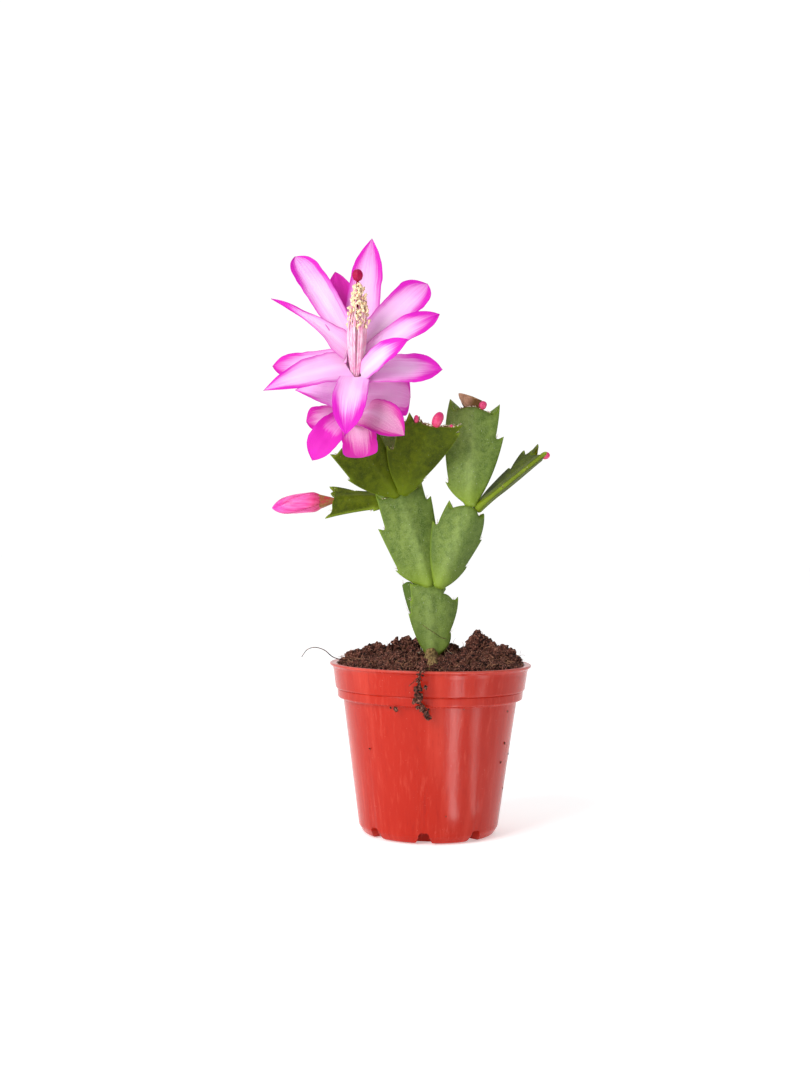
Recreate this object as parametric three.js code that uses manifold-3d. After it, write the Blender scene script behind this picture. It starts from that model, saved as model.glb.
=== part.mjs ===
// A Christmas cactus in flower in a small plastic nursery pot. Units are millimetres and +Z is up.
// The origin is the middle of the pot's base and the side towards -Y is the front.
import * as THREE from 'three';
import { mergeVertices } from 'three/addons/utils/BufferGeometryUtils.js';
import Module from 'manifold-3d';

const wasm = await Module();
wasm.setup();

// ---------------------------------------------------------------------------------------------
// Driving dimensions
// ---------------------------------------------------------------------------------------------

const gap = 0.3; // clearance between pieces that touch on the real plant

const pot = {
  height: 51,
  lipRadius: 30.2,
  wall: 1,
  sides: 40,
  // outside of the pot from the middle of its base to the lip: [radius, height]
  outside: [[17.8, 0], [19.6, 0.6], [20.9, 2.6], [26.1, 40.4], [27.8, 41], [28.3, 43.2], [29.2, 49.3]],
  lip: [[30.2, 49.6], [30.3, 50.5], [29.8, 51], [28.9, 51]],
};

const notches = { count: 8, turn: -2.5, topWidth: 3.1, bottomWidth: 7, height: 3.6, innerRadius: 14.5 };
const drainHole = { radius: 1.1, fromAxis: 17.2 };

// heaps on the soil: [x, y, height, spread]
const soilHeaps = [
  [14.5, 3, 6.6, 4.2],
  [21.5, -1, 3.2, 7],
  [-7, 5, 4.4, 5.5],
  [-16, 2, 3, 5.5],
  [-23, 1, 1.2, 4],
  [6, 11, 3, 6],
  [9, -13, 1.8, 6],
  [-11, -12, 1.6, 6],
];
const soilLevel = { middle: 52.2, edge: 51.4, roughness: 0.5 };

const stemHole = { radius: 3, bottom: 44 };
const stemRoot = { radius: 2.3, bottom: 44.6 };

// A scrap of root with crumbs of peat, from the soil over the lip and down the front of the pot
const rootStrand = {
  radius: 0.7,
  main: [[-1.5, -23.6, 53.2], [-2.1, -26.6, 53.1], [-2.8, -29.6, 52.6], [-3.3, -31.6, 50.6], [-3.9, -31, 47],
    [-3.8, -30.2, 43.6], [-2.8, -29.7, 41], [-1.4, -28.2, 38.4], [-1, -27.6, 37.6]],
  branch: [[-3.4, -31.4, 49.6], [-5, -31.2, 48.4], [-6.4, -30.8, 46.9]],
  crumbs: [
    [-3.6, -31.1, 46.2, 1.1], [-3.7, -30.4, 43.8, 1.3], [-1.7, -28.9, 39, 1.1], [-2.9, -30.2, 52.4, 1],
  ],
};

// Each stem segment is a flat, toothed blade from its base to its tip, and faces the way that facing points.
// left and right are the teeth of its two edges as seen from the front, from the base up:
// [distance along the blade, distance out from its midrib, depth of the notch behind the tooth].
// The last tooth of an edge is the horn beside the blade's blunt end. fold turns each half back from
// the midrib, in degrees, and shoulder is where the blunt end meets each horn. wing is a third, narrower
// blade that stands out behind the left half, and root is a woody stem below the joint.
// cutBy names the segments that stand in front of it or on it, and that it makes room for.
const segments = [
  {
    name: 'segment_a', base: [0.7, 0, 52.6], tip: [-0.5, 0, 74.3], facing: [0.05, -1, 0], fold: [6, 24],
    left: [[13.3, 6.9, 1], [21.6, 6.3]], right: [[6.6, 5.5, 0.7], [17.7, 8.7]], shoulder: [21.2, 18.2],
    wing: { turn: 38, reach: 10.4, from: 9, to: 21.2 }, root: true, color: 0x6e8c4b,
    cutBy: ['segment_b', 'segment_c'],
  },
  {
    name: 'segment_b', base: [-0.8, 0, 74], tip: [-9.6, 1.5, 102], facing: [0.15, -1, 0], fold: [5, 10],
    left: [[7.5, 8.4, 0.9], [20.9, 9.8, 2.1], [31.8, 7.6]],
    right: [[9, 7.2, 0.8], [26.2, 8.9, 1.8], [31.2, 7.3]],
    shoulder: [29.2, 29.5], color: 0x6f8d4a,
    cutBy: ['segment_c', 'segment_d', 'segment_e', 'segment_f', 'segment_g'],
  },
  {
    name: 'segment_c', base: [2.6, -2, 73.9], tip: [11.1, -3, 98.3], facing: [0.05, -1, 0], fold: [8, 30],
    left: [[17.9, 8.9, 1.8], [25, 6, 1.4]], right: [[8.5, 6.8, 0.8], [17.7, 8.4, 0.8], [25.3, 5.6]],
    shoulder: [24.6, 24.6], color: 0x6a8a48, cutBy: ['segment_h', 'segment_i'],
  },
  {
    name: 'segment_d', base: [-9, -0.6, 101.9], tip: [-1.3, -11, 121.7], facing: [0.05, -1, -0.3],
    fold: [6, 6],
    left: [[12.8, 9.8, 2.4], [22.5, 9.2, 2.2], [25.2, 6.9]],
    right: [[6.2, 4.5, 0.4], [20.6, 8.2, 0.8], [26.9, 9.6]],
    shoulder: [23, 23.8], color: 0x4f6618, cutBy: [],
  },
  {
    name: 'segment_e', base: [-10.8, 1.2, 101.3], tip: [-24.3, -8.5, 117.7], facing: [0.1, -1, -0.2],
    fold: [6, 8],
    left: [[13.4, 8.9, 0.8], [23.2, 8.2]], right: [[12, 7, 1.2], [22.6, 8]],
    shoulder: [22, 21.6], color: 0x4d6316, cutBy: ['segment_d'],
  },
  {
    name: 'segment_f', base: [-12.8, 3.4, 100.2], tip: [-29.4, 6.5, 99.7], facing: [0, -0.75, 0.65],
    fold: [10, 10],
    left: [[5, 4.6, 0.7], [19, 6.1]], right: [[13, 5.4, 0.8], [19.8, 6.3]],
    shoulder: [17, 17], color: 0x51681c, cutBy: ['segment_e', 'segment_d'],
  },
  {
    name: 'segment_g', base: [-9, 3.6, 102.6], tip: [-10.6, 8, 124.3], facing: [0, -1, 0.1], fold: [8, 8],
    left: [[11, 7.4, 1.6], [22.8, 7]], right: [[12, 8, 1.6], [23.6, 6.6]],
    shoulder: [21.4, 21.4], color: 0x66824a, cutBy: ['segment_d', 'segment_e', 'segment_f'],
  },
  {
    name: 'segment_h', base: [11.2, -2.6, 98.5], tip: [12.4, 2, 128.4], facing: [0, -1, 0], fold: [8, 12],
    left: [[7.4, 8, 1.3], [32.7, 7.7]], right: [[22.5, 9.6, 2.7], [32.2, 7.7]],
    shoulder: [29.3, 29], color: 0x6c8b4c, cutBy: [],
  },
  {
    name: 'segment_i', base: [14, -1.4, 97.4], tip: [33.1, 4, 113.9], facing: [-0.6, -0.06, 0.74],
    fold: [-24, -6],
    left: [[18.3, 7.4, 1.6], [26.4, 9.2, 3.4], [29.4, 6.4]],
    right: [[9, 5.6, 1], [18, 6.6, 1.2], [26.6, 5.6]],
    shoulder: [25.4, 24.6], color: 0x5b7526, cutBy: ['segment_h'],
  },
];
const blade = {
  neck: 1.9, // half the width of a segment at its joint
  ribHalf: 1.5, // half the thickness on the midrib
  shoulderHalf: 0.95, // half the thickness beside the midrib
  marginHalf: 0.42, // half the thickness at the edge
  neckHalf: 1.35, // half the thickness at the joint
  reach: 14, // wider than any blade
};

// The flower stands on the tip of segment e: its ovary, then the tube, which leans to the front and opens
// in an oblique mouth that looks the way that face points.
const flower = {
  foot: new THREE.Vector3(-24.25, -9.1, 118.8),
  mouth: new THREE.Vector3(-23.1, -14.8, 139.8),
  face: new THREE.Vector3(0, -0.9, 0.44).normalize(),
  mouthAcross: 3.7, // from the middle of the mouth to its side
  mouthUp: 5.6, // from the middle of the mouth to its upper and lower lip
  columnFoot: new THREE.Vector3(-23.2, -14.2, 134.5),
  anthers: new THREE.Vector3(-22.9, -17.6, 147.5),
  stigma: new THREE.Vector3(-22.9, -20.5, 163.7),
  ovaryLength: 3.2,
  stigmaRadius: 1.5,
  styleRadius: 0.5,
};

// Tepals, each as [tip, greatest width, where on the tube it grows from (0 at the tube's foot, 1 at its
// mouth), from which side of the mouth in degrees (0 right, 90 back and up), how far its middle lifts to
// the front, how far its edges rise, how far along it is widest, how blunt its tip is, and its foot's share
// of the width].
const tepals = [
  [[-19.4, 0, 178.6], 8.5, 1, 80, -2, 0.8, 0.7, 1.5, 0.75],
  [[-44, -6, 171.5], 8.2, 1, 118, 2, 0.9, 0.6, 3.2, 0.8],
  [[-30.6, 6, 168.6], 8.6, 1, 105, 0, 0.8, 0.6, 2.4, 0.9],
  [[-48.5, -12, 158], 6, 1, 126, 2, 0.7, 0.3, 1.4, 0.8],
  [[-49.2, -24, 129.8], 8.6, 1, 200, 3, 0.8, 0.3, 1.8, 0.9],
  [[-48.4, -6, 139], 8, 1, 165, 1, 0.8, 0.6, 3.4, 0.6],
  [[-25, -33, 117.8], 8.8, 1, 268, 4.5, 0.7, 0.5, 2, 0.72],
  [[-41, -13, 131.4], 9, 0.28, 0, 1, 0.6, 0.5, 1.8, 0.7],
  [[1.9, -20, 137], 8.6, 1, 325, 2, 0.8, 0.6, 2.2, 0.7],
  [[-7, -11, 129.6], 10, 0.28, 0, 1, 0.6, 0.75, 4, 0.7],
  [[-9, -27, 144.4], 8.4, 1, 305, 2, 0.8, 0.5, 2.4, 0.5],
  [[1, -14, 153.8], 8.2, 1, 20, 2, 0.8, 0.6, 3, 0.6],
  [[-2.4, -7, 164.4], 9.8, 1, 55, 1, 0.9, 0.65, 3.4, 0.6],
  [[-37.6, -13, 123.2], 7.6, 0.1, 0, 2, 0.7, 0.7, 3.4, 0.6],
  [[-35.2, -20, 110.3], 9.2, 0.14, 0, 4, 0.8, 0.6, 3.2, 0.6],
  [[-21, -23, 111.4], 10, 0.14, 0, 5, 0.8, 0.8, 5, 0.5],
  [[-9.4, -19, 117.8], 8.8, 0.12, 0, 3.5, 0.7, 0.6, 1.8, 0.6],
].map(([tip, width, ring, from, bow, cup, widest, point, foot]) => ({
  tip: new THREE.Vector3(...tip), width, ring, from, bow, cup, widest, point, foot,
}));
const tepalGrid = { along: 8, across: 4, middle: 0.9, edge: 0.62 };

const stamens = { filaments: 18, filamentRadius: 0.36, antherLength: 2.2, antherRadius: 0.8, seed: 7 };

const bigBud = {
  base: new THREE.Vector3(-30, 6.5, 99.6),
  tip: new THREE.Vector3(-49.1, 7, 97.8),
  ovary: { length: 4.6, radius: 1.65 },
  radius: 3.05,
};

// Small buds on the blunt ends of segments: at is [distance out from the midrib, distance along the blade]
const smallBuds = [
  { name: 'bud_1', on: 'segment_d', at: [-3.8, 23.9], towards: [-0.1, -0.2, 1], length: 1.8, radius: 0.85 },
  { name: 'bud_2', on: 'segment_d', at: [2.2, 24.2], towards: [0.3, -0.2, 1], length: 4.8, radius: 1.8 },
  { name: 'bud_3', on: 'segment_d', at: [6.1, 24.1], towards: [0.3, -0.3, 0.9], length: 1.7, radius: 0.8 },
  { name: 'bud_4', on: 'segment_h', at: [3.4, 30.6], towards: [0.35, -0.1, 0.9], length: 2.6, radius: 1.25 },
  { name: 'bud_5', on: 'segment_i', at: [0.3, 26.4], towards: [0.8, 0.2, 0.2], length: 2.7, radius: 1.2 },
];

// The husk is a dry, deeply cupped scale on the end of segment h, leaning back
const husk = { on: 'segment_h', root: [-1.6, 31.1], tip: [-1.3, 34.8], lean: 1.4, width: 7.6, cup: 2.2 };

// ---------------------------------------------------------------------------------------------
// Helpers
// ---------------------------------------------------------------------------------------------

const up = new THREE.Vector3(0, 0, 1);

function vector(list) {
  return new THREE.Vector3(...list);
}

// Park and Miller's generator: the same seed always gives the same draws
function seededRandom(seed) {
  let state = seed;
  return () => {
    state = (state * 16807) % 2147483647;
    return state / 2147483647;
  };
}

function solidOf(geometry) {
  const bare = new THREE.BufferGeometry();
  bare.setAttribute('position', geometry.attributes.position.clone());
  bare.setIndex(geometry.index ? geometry.index.clone() : null);
  const merged = mergeVertices(bare, 1e-4);
  const index = merged.index.array;
  const corners = [];
  for (let i = 0; i < index.length; i += 3) {
    const [a, b, c] = [index[i], index[i + 1], index[i + 2]];
    if (a !== b && b !== c && c !== a) corners.push(a, b, c);
  }
  return new wasm.Manifold(new wasm.Mesh({
    numProp: 3,
    vertProperties: new Float32Array(merged.attributes.position.array),
    triVerts: new Uint32Array(corners),
  }));
}

function geometryOf(solid) {
  const mesh = solid.getMesh();
  const geometry = new THREE.BufferGeometry();
  geometry.setAttribute('position', new THREE.BufferAttribute(new Float32Array(mesh.vertProperties), 3));
  geometry.setIndex(new THREE.BufferAttribute(new Uint32Array(mesh.triVerts), 1));
  geometry.computeVertexNormals();
  return geometry;
}

// The biggest body of a solid, without the loose scraps that a cut can leave
function mainBody(solid) {
  return solid.decompose().sort((a, b) => b.volume() - a.volume())[0];
}

function geometryFrom(points, triangles) {
  const geometry = new THREE.BufferGeometry();
  const coordinates = points.flatMap((p) => [p.x, p.y, p.z]);
  geometry.setAttribute('position', new THREE.Float32BufferAttribute(coordinates, 3));
  geometry.setIndex(triangles);
  return geometry;
}

// A closed skin over rows of points that all have the same number of corners and run counterclockwise
// as seen from the last row. The first and last row are closed by a fan.
function skinOver(rows) {
  const count = rows[0].length;
  const points = rows.flat();
  const triangles = [];
  for (let row = 0; row + 1 < rows.length; row += 1) {
    for (let k = 0; k < count; k += 1) {
      const a = row * count + k;
      const b = row * count + ((k + 1) % count);
      triangles.push(a, b, b + count, a, b + count, a + count);
    }
  }
  const last = (rows.length - 1) * count;
  for (let k = 1; k + 1 < count; k += 1) {
    triangles.push(0, k + 1, k, last, last + k, last + k + 1);
  }
  return geometryFrom(points, triangles);
}

// A round rod along a smooth curve through the points, with a radius for each share of its length
function rodAlong(points, radiusAt, steps, sides) {
  const curve = new THREE.CatmullRomCurve3(points);
  const frames = curve.computeFrenetFrames(steps);
  const rows = [];
  for (let i = 0; i <= steps; i += 1) {
    const middle = curve.getPointAt(i / steps);
    const row = [];
    for (let k = 0; k < sides; k += 1) {
      const angle = (2 * Math.PI * k) / sides;
      row.push(middle.clone()
        .addScaledVector(frames.normals[i], radiusAt(i / steps) * Math.cos(angle))
        .addScaledVector(frames.binormals[i], radiusAt(i / steps) * Math.sin(angle)));
    }
    rows.push(row);
  }
  return skinOver(rows);
}

function latheSolid(profile, sides) {
  const closed = [[0, profile[0][1]], ...profile, [0, profile[profile.length - 1][1]]];
  const lathe = new THREE.LatheGeometry(closed.map(([r, z]) => new THREE.Vector2(r, z)), sides);
  lathe.rotateX(Math.PI / 2);
  return solidOf(lathe);
}

// ---------------------------------------------------------------------------------------------
// Pot, soil and root strand
// ---------------------------------------------------------------------------------------------

// The eight round-shouldered openings in the foot, grown by a margin on every side
function notchCutters(margin) {
  const half = notches.topWidth / 2 + margin;
  const low = notches.bottomWidth / 2 + margin;
  const top = notches.height + margin;
  const outline = new THREE.Shape();
  outline.moveTo(-low, -1);
  outline.lineTo(low, -1);
  outline.lineTo(low, 0);
  outline.quadraticCurveTo(half, 0.4, half, top * 0.55);
  outline.lineTo(half * 0.75, top);
  outline.lineTo(-half * 0.75, top);
  outline.lineTo(-half, top * 0.55);
  outline.quadraticCurveTo(-half, 0.4, -low, 0);
  const cutter = new THREE.ExtrudeGeometry(outline, { depth: 12, bevelEnabled: false, curveSegments: 3 });
  cutter.rotateX(Math.PI / 2);
  cutter.translate(0, -(notches.innerRadius - margin), 0);
  const copies = [];
  for (let k = 0; k < notches.count; k += 1) {
    const turned = cutter.clone().rotateZ(THREE.MathUtils.degToRad(notches.turn + (360 / notches.count) * k));
    copies.push(solidOf(turned));
  }
  return copies.reduce((all, one) => all.add(one));
}

// Radius and height of a line inside the pot's wall, at a distance from its outside
function insidePot(distance) {
  return pot.outside.map(([r, z], i) => {
    if (i === 0) return [r - distance, distance];
    const rise = i < 3 ? 0.6 : 0.1; // more at the rounded foot than up the wall
    return [r - distance, z + distance * rise];
  });
}

function potSolid() {
  const outside = latheSolid([...pot.outside, ...pot.lip], pot.sides);
  const mouth = [pot.lip[3][0] - 0.4, pot.height + 1];
  const inside = latheSolid([...insidePot(pot.wall), mouth], pot.sides).subtract(notchCutters(pot.wall));
  let solid = outside.subtract(notchCutters(0)).subtract(inside);
  for (let k = 0; k < notches.count; k += 1) {
    const hole = new THREE.CylinderGeometry(drainHole.radius, drainHole.radius, 4, 8).rotateX(Math.PI / 2);
    const angle = THREE.MathUtils.degToRad(notches.turn - 90 + (360 / notches.count) * k);
    const [x, y] = [drainHole.fromAxis * Math.cos(angle), drainHole.fromAxis * Math.sin(angle)];
    solid = solid.subtract(solidOf(hole.translate(x, y, notches.height + 0.6)));
  }
  return mainBody(solid);
}

function soilHeight(x, y, random) {
  const away = Math.hypot(x, y) / pot.lipRadius;
  let height = THREE.MathUtils.lerp(soilLevel.middle, soilLevel.edge, away * away);
  for (const [hx, hy, rise, spread] of soilHeaps) {
    height += rise * Math.exp(-((x - hx) ** 2 + (y - hy) ** 2) / (2 * (spread * 0.6) ** 2));
  }
  return height + (random() - 0.5) * 2 * soilLevel.roughness;
}

function soilSolid() {
  const sides = 40;
  const rings = 10;
  const random = seededRandom(11);
  const wallLine = insidePot(pot.wall + gap).filter(([, z]) => z < soilLevel.edge - 2);
  const rows = [];
  const rowAt = (radius, heightAt) => {
    const row = [];
    for (let k = 0; k < sides; k += 1) {
      const angle = (2 * Math.PI * k) / sides;
      const [x, y] = [radius * Math.cos(angle), radius * Math.sin(angle)];
      row.push(new THREE.Vector3(x, y, heightAt(x, y)));
    }
    return row;
  };
  for (const [r, z] of wallLine) rows.push(rowAt(r, () => z));
  const edge = wallLine[wallLine.length - 1][0];
  for (let ring = 0; ring < rings; ring += 1) {
    const radius = edge * (1 - ring / rings) + 0.4;
    rows.push(rowAt(radius, (x, y) => soilHeight(x, y, random)));
  }
  const hole = new THREE.CylinderGeometry(stemHole.radius, stemHole.radius, 30, 16).rotateX(Math.PI / 2);
  hole.translate(segments[0].base[0], segments[0].base[1], stemHole.bottom + 15);
  return mainBody(solidOf(skinOver(rows)).subtract(notchCutters(pot.wall + gap)).subtract(solidOf(hole)));
}

function rootStrandSolid() {
  const { radius, main, branch, crumbs } = rootStrand;
  const taper = (share) => radius * (1 - 0.35 * share);
  let solid = solidOf(rodAlong(main.map(vector), taper, 16, 5));
  solid = solid.add(solidOf(rodAlong(branch.map(vector), (share) => 0.6 * taper(share), 5, 5)));
  for (const [x, y, z, size] of crumbs) {
    const crumb = new THREE.IcosahedronGeometry(size, 0).rotateZ(x + z);
    solid = solid.add(solidOf(crumb.translate(x, y, z)));
  }
  return mainBody(solid);
}

// ---------------------------------------------------------------------------------------------
// Stem segments
// ---------------------------------------------------------------------------------------------

// The outline of one half of a blade as [out, along] points, from the joint to the middle of its end
function halfOutline(teeth, shoulder, length) {
  const points = [new THREE.Vector2(blade.neck * 0.6, -0.2), new THREE.Vector2(blade.neck, 0.5)];
  let from = points[1];
  teeth.forEach(([along, out, notch], i) => {
    const tooth = new THREE.Vector2(out, along);
    const control = i === 0
      ? new THREE.Vector2(THREE.MathUtils.lerp(from.x, out, 0.72), THREE.MathUtils.lerp(from.y, along, 0.42))
      : new THREE.Vector2(Math.max(from.x, out - 0.6), THREE.MathUtils.lerp(from.y, along, 0.55));
    points.push(...new THREE.QuadraticBezierCurve(from, control, tooth).getPoints(3).slice(1));
    if (i === teeth.length - 1) {
      points.push(new THREE.Vector2(out - 1.7, shoulder));
    } else {
      from = new THREE.Vector2(out - notch, along - notch * 0.35);
      points.push(from);
    }
  });
  points.push(new THREE.Vector2(3.2, THREE.MathUtils.lerp(shoulder, length, 0.8)));
  return points;
}

// The flat outline of a blade, standing along +Y, with its right half towards +X
function bladeShape(segment, length, grow) {
  const right = halfOutline(segment.right, segment.shoulder[1], length);
  const left = halfOutline(segment.left, segment.shoulder[0], length).reverse();
  const mirrored = left.map((p) => new THREE.Vector2(-p.x, p.y));
  const outline = [...right, new THREE.Vector2(0, length), ...mirrored];
  return new THREE.Shape(outline.map((p) => new THREE.Vector2(
    p.x + grow * Math.sign(p.x),
    p.y + (p.y < 1 ? -grow : grow * (p.y / length)),
  )));
}

// A body with the blade's thickness everywhere, wider and longer than its outline
function thicknessBody(length, grow) {
  const across = [-blade.reach, -5.5, -2, 0, 2, 5.5, blade.reach];
  const stations = [-2, 2.5, length * 0.25, length * 0.5, length * 0.75, length - 1.5, length + 9];
  const rows = stations.map((along) => {
    const nearJoint = THREE.MathUtils.clamp(1 - along / 6, 0, 1);
    const nearEnd = THREE.MathUtils.clamp((along - length * 0.6) / (length * 0.4), 0, 1);
    const halfAt = (x) => {
      const side = Math.abs(x);
      let half = blade.marginHalf;
      if (side < 1) half = THREE.MathUtils.lerp(blade.ribHalf, blade.shoulderHalf, nearEnd);
      else if (side < 3) half = blade.shoulderHalf;
      else if (side < 6) half = (blade.shoulderHalf + blade.marginHalf) / 2;
      return THREE.MathUtils.lerp(half, blade.neckHalf, side < 6 ? nearJoint : 0) + grow;
    };
    const top = across.map((x) => new THREE.Vector3(x, along, halfAt(x)));
    const bottom = across.map((x) => new THREE.Vector3(x, along, -halfAt(x)));
    return [...top, ...bottom.reverse()];
  });
  return solidOf(skinOver(rows));
}

function wingSolid(segment, length, grow) {
  const { reach, from, to } = segment.wing;
  const outline = new THREE.Shape([
    [0, 1.5], [-reach * 0.45, from * 0.6], [-reach * 0.72, from], [-reach * 0.66, from + 1.2], [-reach, to],
    [-reach * 0.72, to - 0.6], [0, length - 1],
  ].map(([x, y]) => new THREE.Vector2(x - (x < 0 ? grow : 0), y)));
  const flat = new THREE.ExtrudeGeometry(outline, { depth: 1 + 2 * grow, bevelEnabled: false });
  flat.translate(0, 0, -0.5 - grow);
  flat.rotateY(-THREE.MathUtils.degToRad(segment.wing.turn));
  return solidOf(flat);
}

function segmentFrame(segment) {
  const [base, tip] = [vector(segment.base), vector(segment.tip)];
  const along = tip.clone().sub(base);
  const length = along.length();
  along.normalize();
  const facing = vector(segment.facing);
  facing.addScaledVector(along, -facing.dot(along)).normalize();
  const right = along.clone().cross(facing);
  return { length, place: new THREE.Matrix4().makeBasis(right, along, facing).setPosition(base) };
}

function segmentSolid(segment, grow = 0) {
  const { length, place } = segmentFrame(segment);
  const shape = bladeShape(segment, length, grow);
  const prism = new THREE.ExtrudeGeometry(shape, { depth: 8, bevelEnabled: false }).translate(0, 0, -4);
  const flat = geometryOf(solidOf(prism).intersect(thicknessBody(length, grow)));
  const position = flat.attributes.position;
  for (let i = 0; i < position.count; i += 1) {
    const [x, z] = [position.getX(i), position.getZ(i)];
    const turn = THREE.MathUtils.degToRad(x < 0 ? segment.fold[0] : segment.fold[1]);
    if (Math.abs(x) > 0.01) {
      position.setX(i, x * Math.cos(turn) + z * Math.sin(turn) * Math.sign(x));
      position.setZ(i, z * Math.cos(turn) - Math.abs(x) * Math.sin(turn));
    }
  }
  let solid = solidOf(flat);
  if (segment.wing) solid = solid.add(wingSolid(segment, length, grow));
  if (segment.root) {
    const down = segment.base[2] - stemRoot.bottom;
    const root = new THREE.CylinderGeometry(stemRoot.radius * 0.85, stemRoot.radius, down + 2.4, 10);
    solid = solid.add(solidOf(root.translate(0, 2.4 - (down + 2.4) / 2, 0)));
  }
  return solidOf(geometryOf(solid).applyMatrix4(place));
}

// The place on a segment's midplane at a distance out from its midrib and a distance along the blade
function onSegment(name, [out, along], lean = 0) {
  const segment = segments.find((one) => one.name === name);
  const turn = THREE.MathUtils.degToRad(segment.fold[out < 0 ? 0 : 1]);
  const point = new THREE.Vector3(out * Math.cos(turn), along, -Math.abs(out) * Math.sin(turn) - lean);
  return point.applyMatrix4(segmentFrame(segment).place);
}

// A segment with room cut out of it for those that stand on it or before it
function fittedSegment(segment) {
  let solid = segmentSolid(segment);
  for (const name of segment.cutBy) {
    solid = solid.subtract(segmentSolid(segments.find((other) => other.name === name), gap));
  }
  return mainBody(solid);
}

// ---------------------------------------------------------------------------------------------
// Flower
// ---------------------------------------------------------------------------------------------

const tubeAxis = flower.mouth.clone().sub(flower.foot).normalize();
const tubeFoot = flower.foot.clone().addScaledVector(tubeAxis, flower.ovaryLength + gap);
const tubeLength = flower.mouth.distanceTo(tubeFoot);
const ontoTubeAxis = new THREE.Quaternion().setFromUnitVectors(up, tubeAxis);

function alongTube(profile, sides) {
  const geometry = geometryOf(latheSolid(profile, sides));
  return solidOf(geometry.applyQuaternion(ontoTubeAxis).translate(...tubeFoot.toArray()));
}

// A thin pointed blade from root to tip. inside is the direction that its upper face looks.
function leafyBlade({ root, tip, inside, width, bow, cup, widest, point, foot }) {
  const chord = tip.clone().sub(root);
  const face = inside.clone().addScaledVector(chord, -inside.dot(chord) / chord.lengthSq()).normalize();
  const middle = root.clone().add(tip).multiplyScalar(0.5).addScaledVector(face, bow * 2);
  const rib = new THREE.QuadraticBezierCurve3(root, middle, tip);
  const { along, across } = tepalGrid;
  const rows = [];
  for (let i = 0; i <= along; i += 1) {
    const share = i / along;
    const tangent = rib.getTangent(share);
    const side = tangent.clone().cross(face).normalize();
    const normal = side.clone().cross(tangent).normalize();
    const swell = foot + (1 - foot) * Math.sin((Math.PI / 2) * Math.min(share / widest, 1));
    const taper = share > widest ? 1 - ((share - widest) / (1 - widest)) ** point : 1;
    const half = Math.max((width / 2) * swell * taper, 0.35);
    const top = [];
    const bottom = [];
    for (let k = 0; k <= across; k += 1) {
      const x = (2 * k) / across - 1;
      const thick = THREE.MathUtils.lerp(tepalGrid.middle, tepalGrid.edge, x * x) / 2;
      const rise = cup * x * x * (half / (width / 2));
      const centre = rib.getPoint(share).addScaledVector(side, x * half).addScaledVector(normal, rise);
      top.push(centre.clone().addScaledVector(normal, thick));
      bottom.push(centre.clone().addScaledVector(normal, -thick));
    }
    rows.push([...top, ...bottom.reverse()]);
  }
  return bladeSkin(rows, across);
}

// A closed skin over rows of a thin blade: the faces of both sides are split along the same diagonals
function bladeSkin(rows, across) {
  const count = rows[0].length;
  const triangles = [];
  const quad = (a, b, c, d, flip) => triangles.push(...(flip ? [a, b, d, b, c, d] : [a, b, c, a, c, d]));
  for (let row = 0; row + 1 < rows.length; row += 1) {
    for (let k = 0; k < count; k += 1) {
      const a = row * count + k;
      const b = row * count + ((k + 1) % count);
      quad(a, b, b + count, a + count, k > across);
    }
  }
  for (let k = 0; k < across; k += 1) {
    const mirror = count - 1 - k;
    const last = (rows.length - 1) * count;
    quad(k + 1, k, mirror, mirror - 1, false);
    quad(last + k, last + k + 1, last + mirror - 1, last + mirror, true);
  }
  return geometryFrom(rows.flat(), triangles);
}

const mouthRight = new THREE.Vector3(1, 0, 0);
const mouthUp = flower.face.clone().cross(mouthRight);

// The root of a tepal: on the rim of the mouth, or on the side of the tube below it
function tepalRoot({ ring, from, tip }) {
  if (ring === 1) {
    const angle = THREE.MathUtils.degToRad(from);
    return flower.mouth.clone()
      .addScaledVector(mouthRight, flower.mouthAcross * Math.cos(angle))
      .addScaledVector(mouthUp, flower.mouthUp * Math.sin(angle))
      .addScaledVector(flower.face, -0.8);
  }
  const onAxis = tubeFoot.clone().addScaledVector(tubeAxis, tubeLength * ring);
  const outward = tip.clone().sub(onAxis);
  outward.addScaledVector(tubeAxis, -outward.dot(tubeAxis)).normalize();
  return onAxis.addScaledVector(outward, 2 + 1.4 * ring);
}

function tepalSolid(tepal) {
  return solidOf(leafyBlade({ ...tepal, root: tepalRoot(tepal), inside: flower.face }));
}

const styleCurve = [
  tubeFoot.clone().addScaledVector(tubeAxis, 0.3),
  tubeFoot.clone().addScaledVector(tubeAxis, tubeLength * 0.4),
  flower.columnFoot,
  flower.anthers,
  flower.stigma,
];

function tepalsSolid() {
  const beyond = tubeLength + 7;
  const outside = [
    [2, 0], [2.3, tubeLength * 0.15], [3, tubeLength * 0.5], [4.2, tubeLength * 0.85], [4.6, beyond],
  ];
  const inside = [
    [1, -2], [1.1, tubeLength * 0.4], [2.4, tubeLength * 0.55], [3.4, tubeLength * 0.85], [3.8, beyond + 1],
  ];
  const aboveMouth = new THREE.BoxGeometry(60, 60, 60).translate(0, 0, 30);
  aboveMouth.applyQuaternion(new THREE.Quaternion().setFromUnitVectors(up, flower.face));
  aboveMouth.translate(...flower.mouth.toArray());
  let solid = alongTube(outside, 14).subtract(solidOf(aboveMouth));
  for (const tepal of tepals) solid = solid.add(tepalSolid(tepal));
  solid = solid.subtract(alongTube(inside, 14));
  const clearing = rodAlong(styleCurve.slice(2), (share) => 1.9 + 2 * share, 6, 12);
  return mainBody(solid.subtract(solidOf(clearing)));
}

function ovarySolid() {
  const { ovaryLength } = flower;
  const profile = [[1.3, 0], [2, 0.8], [2.2, ovaryLength * 0.6], [1.9, ovaryLength]];
  const geometry = geometryOf(latheSolid(profile, 12)).applyQuaternion(ontoTubeAxis);
  return solidOf(geometry.translate(...flower.foot.toArray()));
}

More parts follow.
